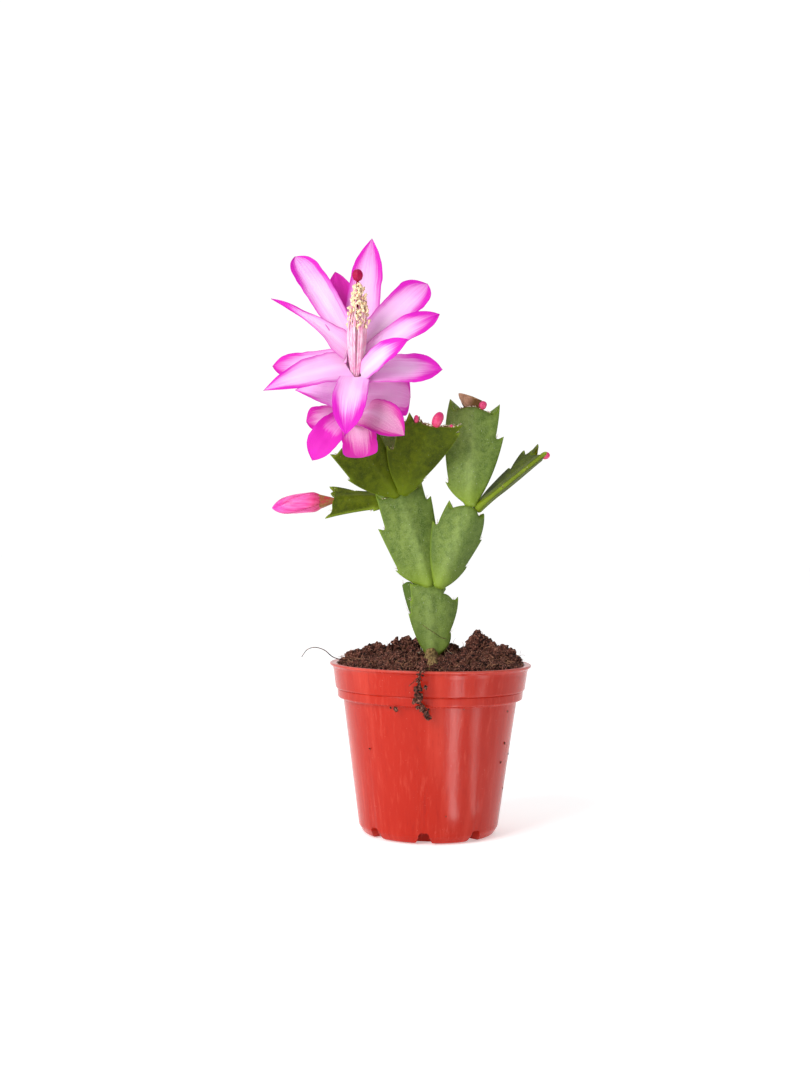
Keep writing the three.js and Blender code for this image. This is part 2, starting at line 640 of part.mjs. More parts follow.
function styleSolid() {
  const rod = solidOf(rodAlong(styleCurve, () => flower.styleRadius, 16, 7));
  const stigma = new THREE.SphereGeometry(flower.stigmaRadius, 12, 8);
  const position = stigma.attributes.position;
  for (let i = 0; i < position.count; i += 1) {
    const angle = Math.atan2(position.getZ(i), position.getX(i));
    const lobe = 1 - 0.12 * Math.abs(Math.cos(3 * angle));
    position.setXYZ(i, position.getX(i) * lobe, position.getY(i), position.getZ(i) * lobe);
  }
  stigma.rotateX(Math.PI / 2).translate(...flower.stigma.toArray());
  return mainBody(rod.add(solidOf(stigma)));
}

// The filaments stand in a bundle round the style, spread at its top and carry the anthers
function stamensSolid() {
  const random = seededRandom(stamens.seed);
  const stalk = new THREE.CatmullRomCurve3(styleCurve);
  const bundle = [];
  for (let i = 0; i <= 6; i += 1) bundle.push(stalk.getPointAt(THREE.MathUtils.lerp(0.3, 0.64, i / 6)));
  let solid = solidOf(rodAlong(bundle, (share) => 1.3 + 1.1 * share, 6, 12));
  const top = bundle[bundle.length - 1];
  const rise = flower.stigma.clone().sub(flower.anthers).normalize();
  const right = new THREE.Vector3(0, 1, 0).cross(rise).normalize();
  const back = rise.clone().cross(right);
  for (let k = 0; k < stamens.filaments; k += 1) {
    const angle = k * 2.4;
    const outward = right.clone().multiplyScalar(Math.cos(angle)).addScaledVector(back, Math.sin(angle));
    const height = 1.5 + 10 * ((k + 0.5) / stamens.filaments);
    const spread = 2.5 + 0.7 * random();
    const foot = top.clone().addScaledVector(outward, 1.75).addScaledVector(rise, -1.4);
    const head = top.clone().addScaledVector(outward, spread).addScaledVector(rise, height);
    const middle = foot.clone().lerp(head, 0.5).addScaledVector(outward, 0.25);
    solid = solid.add(solidOf(rodAlong([foot, middle, head], () => stamens.filamentRadius, 2, 4)));
    const anther = new THREE.OctahedronGeometry(stamens.antherRadius, 0);
    anther.scale(1, 1, stamens.antherLength / (2 * stamens.antherRadius));
    anther.rotateX(random() - 0.5).rotateY(random() - 0.5).translate(...head.toArray());
    solid = solid.add(solidOf(anther));
  }
  const channel = rodAlong(styleCurve, () => flower.styleRadius + gap + 0.08, 16, 7);
  return mainBody(solid.subtract(solidOf(channel)));
}

// ---------------------------------------------------------------------------------------------
// Buds and husk
// ---------------------------------------------------------------------------------------------

// A closed bud from its foot along a direction: petals lap over each other and wind up to the tip
function budGeometry({ foot, towards, length, radius, petals, wind, steps, sides }) {
  const rows = [];
  for (let i = 0; i <= steps; i += 1) {
    const share = i / steps;
    const belly = Math.sin(Math.PI * Math.min(0.5, share * 0.95 + 0.12));
    const tipward = Math.max(0, (share - 0.42) / 0.58) ** 1.15;
    const size = Math.max(radius * belly * (0.5 + 0.5 * Math.cos(Math.PI * tipward)), 0.22);
    const row = [];
    for (let k = 0; k < sides; k += 1) {
      const angle = (2 * Math.PI * k) / sides;
      const lap = (((angle / (2 * Math.PI)) * petals + wind * share) % 1 + 1) % 1;
      const reach = size * (1 - 0.16 * lap);
      row.push(new THREE.Vector3(reach * Math.cos(angle), reach * Math.sin(angle), length * share));
    }
    rows.push(row);
  }
  const turn = new THREE.Quaternion().setFromUnitVectors(up, towards.clone().normalize());
  return skinOver(rows).applyQuaternion(turn).translate(...foot.toArray());
}

const budAxis = bigBud.tip.clone().sub(bigBud.base).normalize();

function bigBudGeometry() {
  const start = bigBud.ovary.length + gap;
  const foot = bigBud.base.clone().addScaledVector(budAxis, start);
  const length = bigBud.tip.distanceTo(bigBud.base) - start;
  return budGeometry({
    foot, towards: budAxis, length, radius: bigBud.radius, petals: 4, wind: 0.9, steps: 9, sides: 20,
  });
}

function bigBudOvary() {
  const { length, radius } = bigBud.ovary;
  const profile = [[0.9, 0], [radius * 0.85, 0.8], [radius, length * 0.7], [radius, length]];
  const lathe = geometryOf(latheSolid(profile, 12));
  const turn = new THREE.Quaternion().setFromUnitVectors(up, budAxis);
  return lathe.applyQuaternion(turn).translate(...bigBud.base.toArray());
}

function huskGeometry() {
  return leafyBlade({
    root: onSegment(husk.on, husk.root), tip: onSegment(husk.on, husk.tip, husk.lean),
    inside: new THREE.Vector3(0.2, -1, 0.3), width: husk.width, bow: -0.6, cup: husk.cup, widest: 0.55,
    point: 3, foot: 0.7,
  });
}

// ---------------------------------------------------------------------------------------------
// Scene graph
// ---------------------------------------------------------------------------------------------

const plant = new THREE.Group();

function addPiece(name, geometry, color, roughness) {
  const material = new THREE.MeshStandardMaterial({ color, roughness, metalness: 0 });
  const mesh = new THREE.Mesh(geometry, material);
  mesh.name = name;
  plant.add(mesh);
}

addPiece('pot', geometryOf(potSolid()), 0xd74432, 0.35);
addPiece('soil', geometryOf(soilSolid()), 0x462d28, 0.95);
addPiece('root_strand', geometryOf(rootStrandSolid()), 0x5a3a2c, 0.9);
for (const segment of segments) {
  addPiece(segment.name, geometryOf(fittedSegment(segment)), segment.color, 0.5);
}
addPiece('flower_ovary', geometryOf(ovarySolid()), 0x7c7a35, 0.5);
addPiece('flower_tepals', geometryOf(tepalsSolid()), 0xf3a0ee, 0.55);
addPiece('flower_stamens', geometryOf(stamensSolid()), 0xfad7b9, 0.6);
addPiece('flower_style', geometryOf(styleSolid()), 0xc80050, 0.4);
addPiece('bud_large_base', bigBudOvary(), 0xa05a4a, 0.5);
addPiece('bud_large', bigBudGeometry(), 0xf25fa0, 0.45);
for (const bud of smallBuds) {
  const geometry = budGeometry({
    ...bud, foot: onSegment(bud.on, bud.at), towards: vector(bud.towards),
    petals: 3, wind: 0.6, steps: 5, sides: 9,
  });
  addPiece(bud.name, geometry, 0xdc506e, 0.45);
}
addPiece('dried_husk', huskGeometry(), 0x96693f, 0.7);

export default plant;
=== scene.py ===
import math
import random

import bmesh
import bpy
import numpy as np
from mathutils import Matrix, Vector, noise


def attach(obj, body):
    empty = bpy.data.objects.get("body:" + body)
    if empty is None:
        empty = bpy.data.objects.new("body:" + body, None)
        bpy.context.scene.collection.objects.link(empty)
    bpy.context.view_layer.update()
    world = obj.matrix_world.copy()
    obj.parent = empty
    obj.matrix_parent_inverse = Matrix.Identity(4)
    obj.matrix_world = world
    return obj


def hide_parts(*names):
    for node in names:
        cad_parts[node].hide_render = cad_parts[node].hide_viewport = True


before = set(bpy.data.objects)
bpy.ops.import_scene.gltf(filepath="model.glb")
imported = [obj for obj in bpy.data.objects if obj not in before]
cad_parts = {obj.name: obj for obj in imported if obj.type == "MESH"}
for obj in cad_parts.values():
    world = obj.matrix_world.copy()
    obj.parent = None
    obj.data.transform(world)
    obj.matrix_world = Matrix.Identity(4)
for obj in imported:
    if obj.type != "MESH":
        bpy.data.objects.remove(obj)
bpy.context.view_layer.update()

# ---- The view -------------------------------------------------------------------------------
# The plant stands on a pale floor in soft daylight. The camera looks level along +Y from the
# front, at the height of the plant's middle, and leans less than one degree.

view = bpy.data.cameras.new("view")
view.sensor_width = 36
view.lens = 48.65
camera = bpy.data.objects.new("view", view)
camera.location = (-0.0082, -0.440, 0.0878)
camera.rotation_euler = (math.pi / 2, math.radians(-0.8), 0)
bpy.context.scene.collection.objects.link(camera)
bpy.context.scene.camera = camera
bpy.context.scene.view_settings.view_transform = "Standard"


def paint(red, green, blue):
    """A colour as it is seen, 0 to 255, as the light value that a shader takes."""
    shades = [c / 255 for c in (red, green, blue)]
    return [c / 12.92 if c < 0.04 else ((c + 0.055) / 1.055) ** 2.4 for c in shades] + [1]


class Tone:
    """A number inside a finish, so that sums and products of it read as plain arithmetic."""

    def __init__(self, finish, socket):
        self.finish = finish
        self.socket = socket

    def worked(self, operation, *terms):
        return self.finish.node("Math", {"operation": operation}, terms)

    def __add__(self, other):
        return self.worked("ADD", self, other)

    def __sub__(self, other):
        return self.worked("SUBTRACT", self, other)

    def __rsub__(self, other):
        return self.worked("SUBTRACT", other, self)

    def __mul__(self, other):
        return self.worked("MULTIPLY", self, other)

    __radd__ = __add__
    __rmul__ = __mul__


class Finish:
    """A material whose constants are set on its shader and whose variation comes from nodes."""

    def __init__(self, name, constants):
        self.material = bpy.data.materials.new(name)
        self.material.use_nodes = True
        self.tree = self.material.node_tree
        self.shader = self.tree.nodes["Principled BSDF"]
        for socket, value in constants.items():
            self.shader.inputs[socket].default_value = value

    def node(self, kind, settings, inputs, output=0):
        """Adds a node, sets its settings, feeds its sockets and gives one of its outputs."""
        node = self.tree.nodes.new("ShaderNode" + kind)
        for setting, value in settings.items():
            setattr(node, setting, value)
        feeds = inputs if isinstance(inputs, dict) else dict(enumerate(inputs))
        for socket, value in feeds.items():
            if isinstance(value, Tone):
                self.tree.links.new(value.socket, node.inputs[socket])
            else:
                node.inputs[socket].default_value = value
        return Tone(self, node.outputs[output])

    def place(self, stretch=(1, 1, 1)):
        """Where a point lies on the plant, in millimetres, stretched along the three axes."""
        where = self.node("TexCoord", {}, (), "Object")
        scale = [1000 * s for s in stretch]
        return self.node("VectorMath", {"operation": "MULTIPLY"}, (where, scale))

    def mark(self, name):
        """A measure that the mesh carries on its points."""
        return self.node("Attribute", {"attribute_name": name}, (), "Fac")

    def grain(self, where, size, detail=3, rough=0.55):
        """Cloudy variation from 0 to 1, with spots about so many millimetres across."""
        feeds = {"Vector": where, "Scale": 1 / size, "Detail": detail, "Roughness": rough}
        return self.node("TexNoise", {}, feeds, "Fac")

    def step(self, value, low, high):
        """0 below low and 1 above high, with a soft rise between them; low may be the higher."""
        feeds = {"Value": value, "From Min": low, "From Max": high}
        return self.node("MapRange", {"interpolation_type": "SMOOTHSTEP"}, feeds, "Result")

    def blend(self, share, first, second):
        """A colour that goes from the first to the second."""
        return self.node("Mix", {"data_type": "RGBA"}, {0: share, 6: first, 7: second}, 2)

    def two_tone(self, tone, low, high, first, second):
        """Soft patches of two colours: the first where the tone is under low, the second over high."""
        return self.blend(self.step(tone, low, high), first, second)

    def coats(self, color, *layers):
        """A colour with others over it, each given as how much of it shows and which it is."""
        for share, over in layers:
            color = self.blend(share, color, over)
        return color

    def wear(self, **feeds):
        """Sets what changes over the surface: base_color, roughness and relief."""
        names = {"base_color": "Base Color", "roughness": "Roughness"}
        for feed, value in feeds.items():
            if feed == "relief":
                height, depth = value
                sockets = {"Strength": 1, "Distance": depth / 1000, "Height": height}
                value = self.node("Bump", {}, sockets, "Normal")
            self.tree.links.new(value.socket, self.shader.inputs[names.get(feed, "Normal")])
        return self


floor_finish = Finish("pale_floor", {
    "Roughness": 0.9, "Specular IOR Level": 0.1, "Emission Color": (1, 1, 1, 1), "Emission Strength": 0.4,
})
dapple = floor_finish.grain(floor_finish.place(), 60)
floor_finish.wear(base_color=floor_finish.blend(dapple, paint(255, 255, 255), paint(253, 253, 254)))
floor_mesh = bpy.data.meshes.new("floor")
floor_mesh.from_pydata([(-6, -6, 0), (6, -6, 0), (6, 6, 0), (-6, 6, 0)], [], [(0, 1, 2, 3)])
floor_mesh.materials.append(floor_finish.material)
floor = bpy.data.objects.new("floor", floor_mesh)
bpy.context.scene.collection.objects.link(floor)

# The room is white behind the plant, and less bright above it, to the sides and to the front.
world = bpy.data.worlds.new("daylight")
world.use_nodes = True
sky = world.node_tree
toward = sky.nodes.new("ShaderNodeTexCoord")
dim_side = sky.nodes.new("ShaderNodeVectorMath")
dim_side.operation = "DOT_PRODUCT"
dim_side.inputs[1].default_value = (0.2, -0.98, 0)
dimming = sky.nodes.new("ShaderNodeMapRange")
dimming.interpolation_type = "SMOOTHSTEP"
for socket, value in (("From Min", -0.94), ("From Max", 0.1), ("To Min", 1.04), ("To Max", 0.46)):
    dimming.inputs[socket].default_value = value
sky.nodes["Background"].inputs["Color"].default_value = (1, 1, 1, 1)
sky.links.new(toward.outputs["Generated"], dim_side.inputs[0])
sky.links.new(dim_side.outputs["Value"], dimming.inputs["Value"])
sky.links.new(dimming.outputs["Result"], sky.nodes["Background"].inputs["Strength"])
bpy.context.scene.world = world


def add_light(name, where, rotation, size, power):
    """A rectangular light, so wide and so high, that shines down until it is rotated."""
    lamp = bpy.data.lights.new(name, "AREA")
    lamp.shape = "RECTANGLE"
    lamp.size, lamp.size_y = size
    lamp.energy = power
    light = bpy.data.objects.new(name, lamp)
    light.location = where
    light.rotation_euler = rotation
    bpy.context.scene.collection.objects.link(light)
    return light


window, plant_middle = Vector((-0.52, -0.62, 0.5)), Vector((0, 0, 0.09))
add_light("window", window, (plant_middle - window).to_track_quat("-Z", "Y").to_euler(), (0.45, 0.6), 7)

# The sloping wall of the pot mirrors the floor before it, so the two streaks in its gloss come
# from strips that lie there and widen away from the pot. They show in the gloss alone.
pot_foot = 0.02
for turn, share, glare in ((0.5, 1, 10), (1.02, 0.7, 6)):
    ahead = Vector((math.sin(turn), -math.cos(turn), 0))
    for reach, length in ((0.048, 0.024), (0.08, 0.04), (0.13, 0.06)):
        width = 0.22 * share * (reach - pot_foot)
        where = reach * ahead + Vector((0, 0, 0.0005))
        power = glare * math.pi * width * length
        strip = add_light("streak", where, (math.pi, 0, turn), (width, length), power)
        strip.visible_camera = strip.visible_diffuse = False

# ---- The pot --------------------------------------------------------------------------------
# A thin moulded nursery pot of brick red plastic, glossy, with fine draw marks up its sides, a
# rolled lip, a stepped band below it, and eight recesses with drain holes round its foot.

pot_sides = 192
pot_outside = [
    (17.8, 0), (19.6, 0.5), (20.9, 2.6), (26.1, 40.35), (27.75, 40.6), (27.9, 43), (27.75, 43.2),
    (28.4, 43.45), (29.15, 48.9), (29.5, 49.9), (30.2, 50.2), (30.3, 50.75), (29.9, 51), (29.2, 50.8),
]
pot_inside = [(28.4, 49.6), (27.3, 43.3), (26.7, 41.2), (25.1, 40.3), (19.9, 3.2), (19, 1.9), (17.2, 1.1)]


def rounded(corners, radius):
    """An open line of (radius, height) corners with each inner corner turned in a small arc."""
    line = [corners[0]]
    for before, corner, after in zip(corners, corners[1:], corners[2:]):
        corner = np.array(corner, float)
        sides = [np.array(p, float) - corner for p in (before, after)]
        lengths = [np.linalg.norm(s) for s in sides]
        reach = min(radius, *(0.45 * one for one in lengths))
        start, end = [corner + s / one * reach for s, one in zip(sides, lengths)]
        for share in np.linspace(0, 1, 4):
            line.append(tuple((1 - share) ** 2 * start + 2 * share * (1 - share) * corner + share**2 * end))
    return line + [corners[-1]]


def ring_skin(rows):
    """A skin round rows of points that all go round the same way, closed at both ends."""
    count = len(rows[0])
    last = (len(rows) - 1) * count
    faces = []
    for row in range(0, last, count):
        for k in range(count):
            a, b = row + k, row + (k + 1) % count
            faces.append((a, b, b + count, a + count))
    faces += [tuple(range(count))[::-1], tuple(range(last, last + count))]
    return np.concatenate(rows), faces


def turned(line, sides):
    """A closed skin turned round the Z axis from (radius, height) points."""
    angles = np.linspace(0, 2 * np.pi, sides, endpoint=False)
    across, ahead = np.cos(angles), np.sin(angles)
    return ring_skin([np.stack([r * across, r * ahead, np.full(sides, z)], 1) for r, z in line])


def make_mesh(name, points, faces, marks=None):
    """A mesh in metres from points in millimetres, with doubled points joined."""
    mesh = bpy.data.meshes.new(name)
    mesh.from_pydata((np.asarray(points) * 0.001).tolist(), [], [tuple(f) for f in faces])
    for mark, values in (marks or {}).items():
        mesh.attributes.new(mark, "FLOAT", "POINT").data.foreach_set("value", np.asarray(values, "f"))
    work = bmesh.new()
    work.from_mesh(mesh)
    bmesh.ops.remove_doubles(work, verts=work.verts, dist=2e-6)
    bmesh.ops.dissolve_degenerate(work, edges=work.edges, dist=1e-7)
    bmesh.ops.recalc_face_normals(work, faces=work.faces)
    work.to_mesh(mesh)
    work.free()
    mesh.shade_smooth()
    return mesh


def add_piece(name, shape, finish, node):
    """Puts a mesh, or the mesh of such points, faces and marks, in place of a plain solid."""
    mesh = make_mesh(name, *shape) if isinstance(shape, tuple) else shape
    piece = bpy.data.objects.new(name, mesh)
    mesh.materials.clear()
    mesh.materials.append(finish.material)
    bpy.context.scene.collection.objects.link(piece)
    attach(piece, "root")
    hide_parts(node)
    return piece


def cut(mesh, cutter):
    """The mesh with another one cut away from it."""
    pair = [bpy.data.objects.new("cut", m) for m in (mesh, cutter)]
    for one in pair:
        bpy.context.scene.collection.objects.link(one)
    change = pair[0].modifiers.new("cut", "BOOLEAN")
    change.object = pair[1]
    change.operation = "DIFFERENCE"
    change.solver = "EXACT"
    graph = bpy.context.evaluated_depsgraph_get()
    result = bpy.data.meshes.new_from_object(pair[0].evaluated_get(graph))
    for one in pair:
        bpy.data.objects.remove(one)
    return result


def recess(turn, margin):
    """The round-shouldered recess in the foot, facing a way given in degrees, grown by a margin."""
    half, low, top, inner = 1.55 + margin, 3.5 + margin, 3.6 + margin, 14.5 - margin
    right = [
        (low, -1), (low, 0), (half + 1.2, 0.25), (half + 0.75, 0.65), (half + 0.4, 1.2), (half + 0.14, 1.8),
        (half, 2.5), (half * 0.97, top - 0.7), (half * 0.85, top - 0.3), (half * 0.6, top),
    ]
    outline = right + [(-x, z) for x, z in reversed(right)]
    cosine, sine = math.cos(math.radians(turn)), math.sin(math.radians(turn))
    spin = np.array([[cosine, sine, 0], [-sine, cosine, 0], [0, 0, 1]])
    return ring_skin([np.array([(x, y, z) for x, z in outline]) @ spin for y in (-inner, -inner - 12)])


def joined(shapes):
    """Several sets of points and faces as one."""
    points, faces, start = [], [], 0
    for some_points, some_faces in shapes:
        points.append(some_points)
        faces += [tuple(i + start for i in f) for f in some_faces]
        start += len(some_points)
    return np.concatenate(points), faces


recess_turns = [-4.5 + 45 * k for k in range(8)]
pot_core = cut(
    make_mesh("pot_core", *turned([(28.3, 53)] + rounded(pot_inside, 0.6), pot_sides)),
    make_mesh("recess_walls", *joined([recess(turn, 1) for turn in recess_turns])),
)
hole_radius, hole_distance = 1.1, 17.2
drain_holes = []
for turn in recess_turns:
    points, faces = turned([(hole_radius, 2.5), (hole_radius, 6.5)], 24)
    angle = math.radians(turn - 90)
    drain_holes.append((points + hole_distance * np.array([math.cos(angle), math.sin(angle), 0]), faces))
pot_mesh = cut(make_mesh("pot", *turned(rounded(pot_outside, 0.45), pot_sides)), pot_core)
pot_mesh = cut(pot_mesh, make_mesh("recesses", *joined([recess(turn, 0) for turn in recess_turns])))
pot_mesh = cut(pot_mesh, make_mesh("drain_holes", *joined(drain_holes)))
pot_mesh.shade_smooth()

pot_finish = Finish("pot_plastic", {"IOR": 1.48, "Specular IOR Level": 0.22})
round_pot = pot_finish.node("VectorMath", {"operation": "MULTIPLY"}, (pot_finish.place(), (1, 1, 0)))
round_pot = pot_finish.node("VectorMath", {"operation": "NORMALIZE"}, (round_pot,))
height = pot_finish.node("VectorMath", {"operation": "MULTIPLY"}, (pot_finish.place(), (0, 0, 0.006)))
round_pot = pot_finish.node("VectorMath", {"operation": "ADD"}, (round_pot, height))
broad_flow = pot_finish.grain(round_pot, 0.42, 3, 0.6)
draw_marks = pot_finish.grain(round_pot, 0.045, 4, 0.7)
fine_marks = pot_finish.grain(round_pot, 0.012, 2, 0.6)
cloud = pot_finish.grain(pot_finish.place((1, 1, 0.5)), 14, 2)
speck = pot_finish.step(pot_finish.grain(pot_finish.place(), 0.42, 2), 0.73, 0.78)
scuff = pot_finish.step(pot_finish.grain(pot_finish.place((1, 1, 0.12)), 0.8, 5, 0.75), 0.68, 0.8)
dusty = pot_finish.step(pot_finish.grain(pot_finish.place(), 7, 3, 0.6), 0.5, 0.75)
level = pot_finish.node("SeparateXYZ", {}, (pot_finish.place(),), 2)
# Painted highlight: the crown of the lip is painted a paler pink, as a line of light along its top.
lip_edge, lip_crown = 50, 50.7
lip_highlight = pot_finish.step(level, lip_edge, lip_crown)
plastic = pot_finish.coats(
    pot_finish.blend(cloud, paint(170, 30, 12), paint(180, 37, 18)),
    (pot_finish.step(broad_flow, 0.5, 0.68) * 0.5, paint(202, 66, 50)),
    (pot_finish.step(draw_marks, 0.52, 0.72) * 0.4, paint(202, 74, 58)),
    (pot_finish.step(draw_marks, 0.45, 0.3) * 0.4, paint(150, 22, 14)),
    # the pale line on the lip's crown is a painted highlight
    (scuff * 0.3, paint(226, 120, 104)), (lip_highlight * 0.2, paint(226, 130, 118)),
    (speck * (0.25 + dusty * 0.6), paint(232, 176, 160)),
)
pot_finish.wear(
    base_color=plastic,
    roughness=0.14 + draw_marks * 0.12 + scuff * 0.25 + speck * 0.3 + dusty * 0.08,
    relief=(draw_marks * 0.5 + fine_marks * 0.15 + broad_flow * 0.8, 0.08),
)
add_piece("pot", pot_mesh, pot_finish, "pot").modifiers.new("soft_edges", "WEIGHTED_NORMAL")

# ---- The soil -------------------------------------------------------------------------------
# Loose brown peat fills the pot to its lip and stands in crumbly heaps round the stem, with
# shreds of root and fibre in it. The crumbs and the fibres lie in the surface of the heaps.

# x, y, rise and spread of each heap
soil_heaps = [
    (14.5, 3, 6.6, 4.2), (21.5, -1, 3.2, 7), (-7, 5, 4.4, 5.5), (-16, 2, 3, 5.5), (-23, 1, 1.2, 4),
    (6, 11, 3, 6), (9, -13, 1.8, 6), (-11, -12, 1.6, 6),
]
lip_radius, peat_level, peat_fall = 30.2, 51.7, 1.5


def soil_height(x, y):
    """Height of the heaped peat without its crumbs."""
    away = (x * x + y * y) / lip_radius**2
    height = peat_level - peat_fall * away * away
    for heap_x, heap_y, rise, spread in soil_heaps:
        height += rise * math.exp(-((x - heap_x) ** 2 + (y - heap_y) ** 2) / (0.72 * spread**2))
    return height


def lumpy(x, y, z, size):
    """Lumps about so many millimetres across, from -1 to 1, with smaller lumps on them."""
    here = Vector((x, y, z)) / size
    return noise.noise(here) + 0.5 * noise.noise(here * 2.1) + 0.28 * noise.noise(here * 4.3)


soil_radius, soil_rings, soil_sides = 28, 96, 360
soil_turns = [2 * math.pi * k / soil_sides for k in range(soil_sides)]
soil_rows = []
for z, r in ((4.9, 19.7), (40, 24.6), (41.5, 26.1), (49.4, 27.8)):
    soil_rows.append([(r * math.cos(angle), r * math.sin(angle), z) for angle in soil_turns])
for ring in range(soil_rings):
    r = soil_radius * (1 - ring / soil_rings)
    fade = min(1, (soil_radius - r) / 2 + 0.25)
    row = []
    for angle in soil_turns:
        x, y = r * math.cos(angle), r * math.sin(angle)
        lump = 0.9 * lumpy(x, y, 0, 2.6) + 0.8 * abs(noise.noise(Vector((x, y, 3)) / 0.9))
        row.append((x, y, soil_height(x, y) + fade * (lump - 0.4)))
    soil_rows.append(row)

soil_finish = Finish("peat", {"Specular IOR Level": 0.25})
peat = soil_finish.grain(soil_finish.place(), 0.9, 5, 0.75)
damp = soil_finish.grain(soil_finish.place(), 4.5, 2)
flake = soil_finish.step(soil_finish.grain(soil_finish.place(), 0.45, 2), 0.57, 0.64)
soil_finish.wear(
    base_color=soil_finish.coats(
        soil_finish.two_tone(peat, 0.41, 0.57, paint(22, 11, 11), paint(112, 64, 52)),
        (soil_finish.step(damp, 0.5, 0.7) * 0.5, paint(122, 76, 60)), (flake * 0.75, paint(190, 136, 114)),
    ),
    roughness=0.96 - flake * 0.3,
    relief=(peat, 0.9),
)
add_piece("soil", ring_skin(soil_rows), soil_finish, "soil")


def ball(divisions):
    """Points and faces of a round ball of radius 1."""
    work = bmesh.new()
    bmesh.ops.create_icosphere(work, subdivisions=divisions, radius=1)
    points = np.array([v.co[:] for v in work.verts])
    faces = [tuple(v.index for v in f.verts) for f in work.faces]
    work.free()
    return points, faces


def crumb(where, size, ball_shape, chance, stretch=None):
    """A rough lump of peat, stretched and dented at random."""
    points, faces = ball_shape
    shift = Vector([chance.uniform(-50, 50) for _ in range(3)])
    dents = []
    for point in points:
        broad, small = [noise.noise(Vector(point) * pace + shift) for pace in (1.3, 3.4)]
        dents.append(1 + 0.7 * broad + 0.5 * small)
    dents = np.array(dents)
    stretch = stretch or [chance.uniform(0.7, 1.25) for _ in range(3)]
    return points * dents[:, None] * size * np.array(stretch) + np.array(where), faces


def strand(path, radii, sides):
    """A strand of so many sides along a list of points, with one radius or one for each point."""
    path = np.asarray(path, float)
    radii = np.broadcast_to(np.asarray(radii, float), (len(path),))
    ahead = np.gradient(path, axis=0)
    ahead /= np.linalg.norm(ahead, axis=1)[:, None] + 1e-9
    side = np.cross(ahead[0], (0.31, 0.52, 0.79))
    rows = []
    for point, forward, radius in zip(path, ahead, radii):
        side = side - forward * side.dot(forward)
        side /= np.linalg.norm(side)
        other = np.cross(forward, side)
        turns = np.linspace(0, 2 * np.pi, sides, endpoint=False)[:, None]
        rows.append(point + radius * (side * np.cos(turns) + other * np.sin(turns)))
    return ring_skin(rows)


def wandering(start, heading, length, chance, steps, bend, sag=0):
    """A path that wanders from a start along a heading, drawn down by the sag at each step."""
    points = [np.array(start, float)]
    heading = np.array(heading, float)
    for _ in range(steps):
        heading = heading / np.linalg.norm(heading)
        points.append(points[-1] + heading * length / steps)
        heading = heading + bend * np.array([chance.uniform(-1, 1) for _ in range(3)]) - (0, 0, sag)
    return points


chance = random.Random(21)
fine_ball, small_ball = ball(3), ball(2)
stem_x, stem_clear = 0.7, 3
crumb_count, crumb_reach = 2600, 27.4
crumbs = []
for _ in range(crumb_count):
    r, angle = crumb_reach * math.sqrt(chance.random()), chance.uniform(0, 2 * math.pi)
    x, y = r * math.cos(angle), r * math.sin(angle)
    if math.hypot(x - stem_x, y) < stem_clear:
        continue
    size = (0.24 + 0.85 * chance.random() ** 3) * (1 if r < 24 else 0.75)
    crumbs.append(crumb((x, y, soil_height(x, y) + 0.35 * size), size, small_ball, chance))
for heap_x, heap_y, rise, spread in soil_heaps:
    for _ in range(int(26 + 9 * rise)):
        x = heap_x + chance.gauss(0, spread * 0.42)
        y = heap_y + chance.gauss(0, spread * 0.42)
        if math.hypot(x, y) < 25 and math.hypot(x - stem_x, y) > stem_clear + 0.6:
            size = chance.uniform(0.5, 1.25)
            crumbs.append(crumb((x, y, soil_height(x, y) + 0.5 * size), size, fine_ball, chance))
# x, y, height and size of the largest clods
clods = [
    (14.4, 2.6, 58.6, 1.3), (14.2, 2.8, 60.2, 0.95), (15.3, 2.2, 58, 1.4), (12.4, 2, 56.6, 1.5),
    (18.4, 1, 55.8, 1.6), (22.3, -1, 55.3, 1.5), (24.2, -2, 54.7, 1.3), (5.9, 1.8, 54.6, 0.9),
    (-10.6, 4, 56.2, 1.4), (-7.2, 4.4, 57.2, 1.5), (-4.2, 4, 56.4, 1.3), (-17.2, 2, 55.4, 1.4),
    (-19.3, 1.6, 54.5, 1.1),
]
crumbs += [crumb((x, y, z), size, fine_ball, chance) for x, y, z, size in clods]
add_piece("soil_crumbs", joined(crumbs), soil_finish, "soil")

fibre_finish = Finish("peat_fibre", {"Specular IOR Level": 0.3})
fibre_shade = fibre_finish.grain(fibre_finish.place(), 3, 2)
fibre_finish.wear(
    base_color=fibre_finish.two_tone(fibre_shade, 0.35, 0.65, paint(92, 52, 40), paint(176, 126, 96)),
    roughness=0.7 + fibre_shade * 0.3,
)
fibre_count, fibre_reach, inside_lip = 900, 26.6, 29
fibres = []
for _ in range(fibre_count):
    r, angle = fibre_reach * math.sqrt(chance.random()), chance.uniform(0, 2 * math.pi)
    x, y = r * math.cos(angle), r * math.sin(angle)
    lift = chance.uniform(-0.1, 0.75)
    heading = (chance.uniform(-1, 1), chance.uniform(-1, 1), lift)
    start = (x, y, soil_height(x, y) + chance.uniform(0, 0.8))
    length = chance.uniform(1.2, 4.5)
    if math.hypot(x + heading[0] * length, y + heading[1] * length) > inside_lip:
        continue
    thickness = chance.uniform(0.05, 0.12)
    path = wandering(start, heading, length, chance, 6, 0.55, 0.12)
    fibres.append(strand(path, thickness * np.linspace(1, 0.45, len(path)), 4))
add_piece("soil_fibres", joined(fibres), fibre_finish, "soil")

# ---- The root strand ------------------------------------------------------------------------
# A shred of root has washed over the lip and dried against the front of the pot, with crumbs of
# peat stuck along it. A few loose crumbs stick to the wall, and one springy root hair stands
# out over the left of the lip. One more root hair lies across the lowest stem segment.

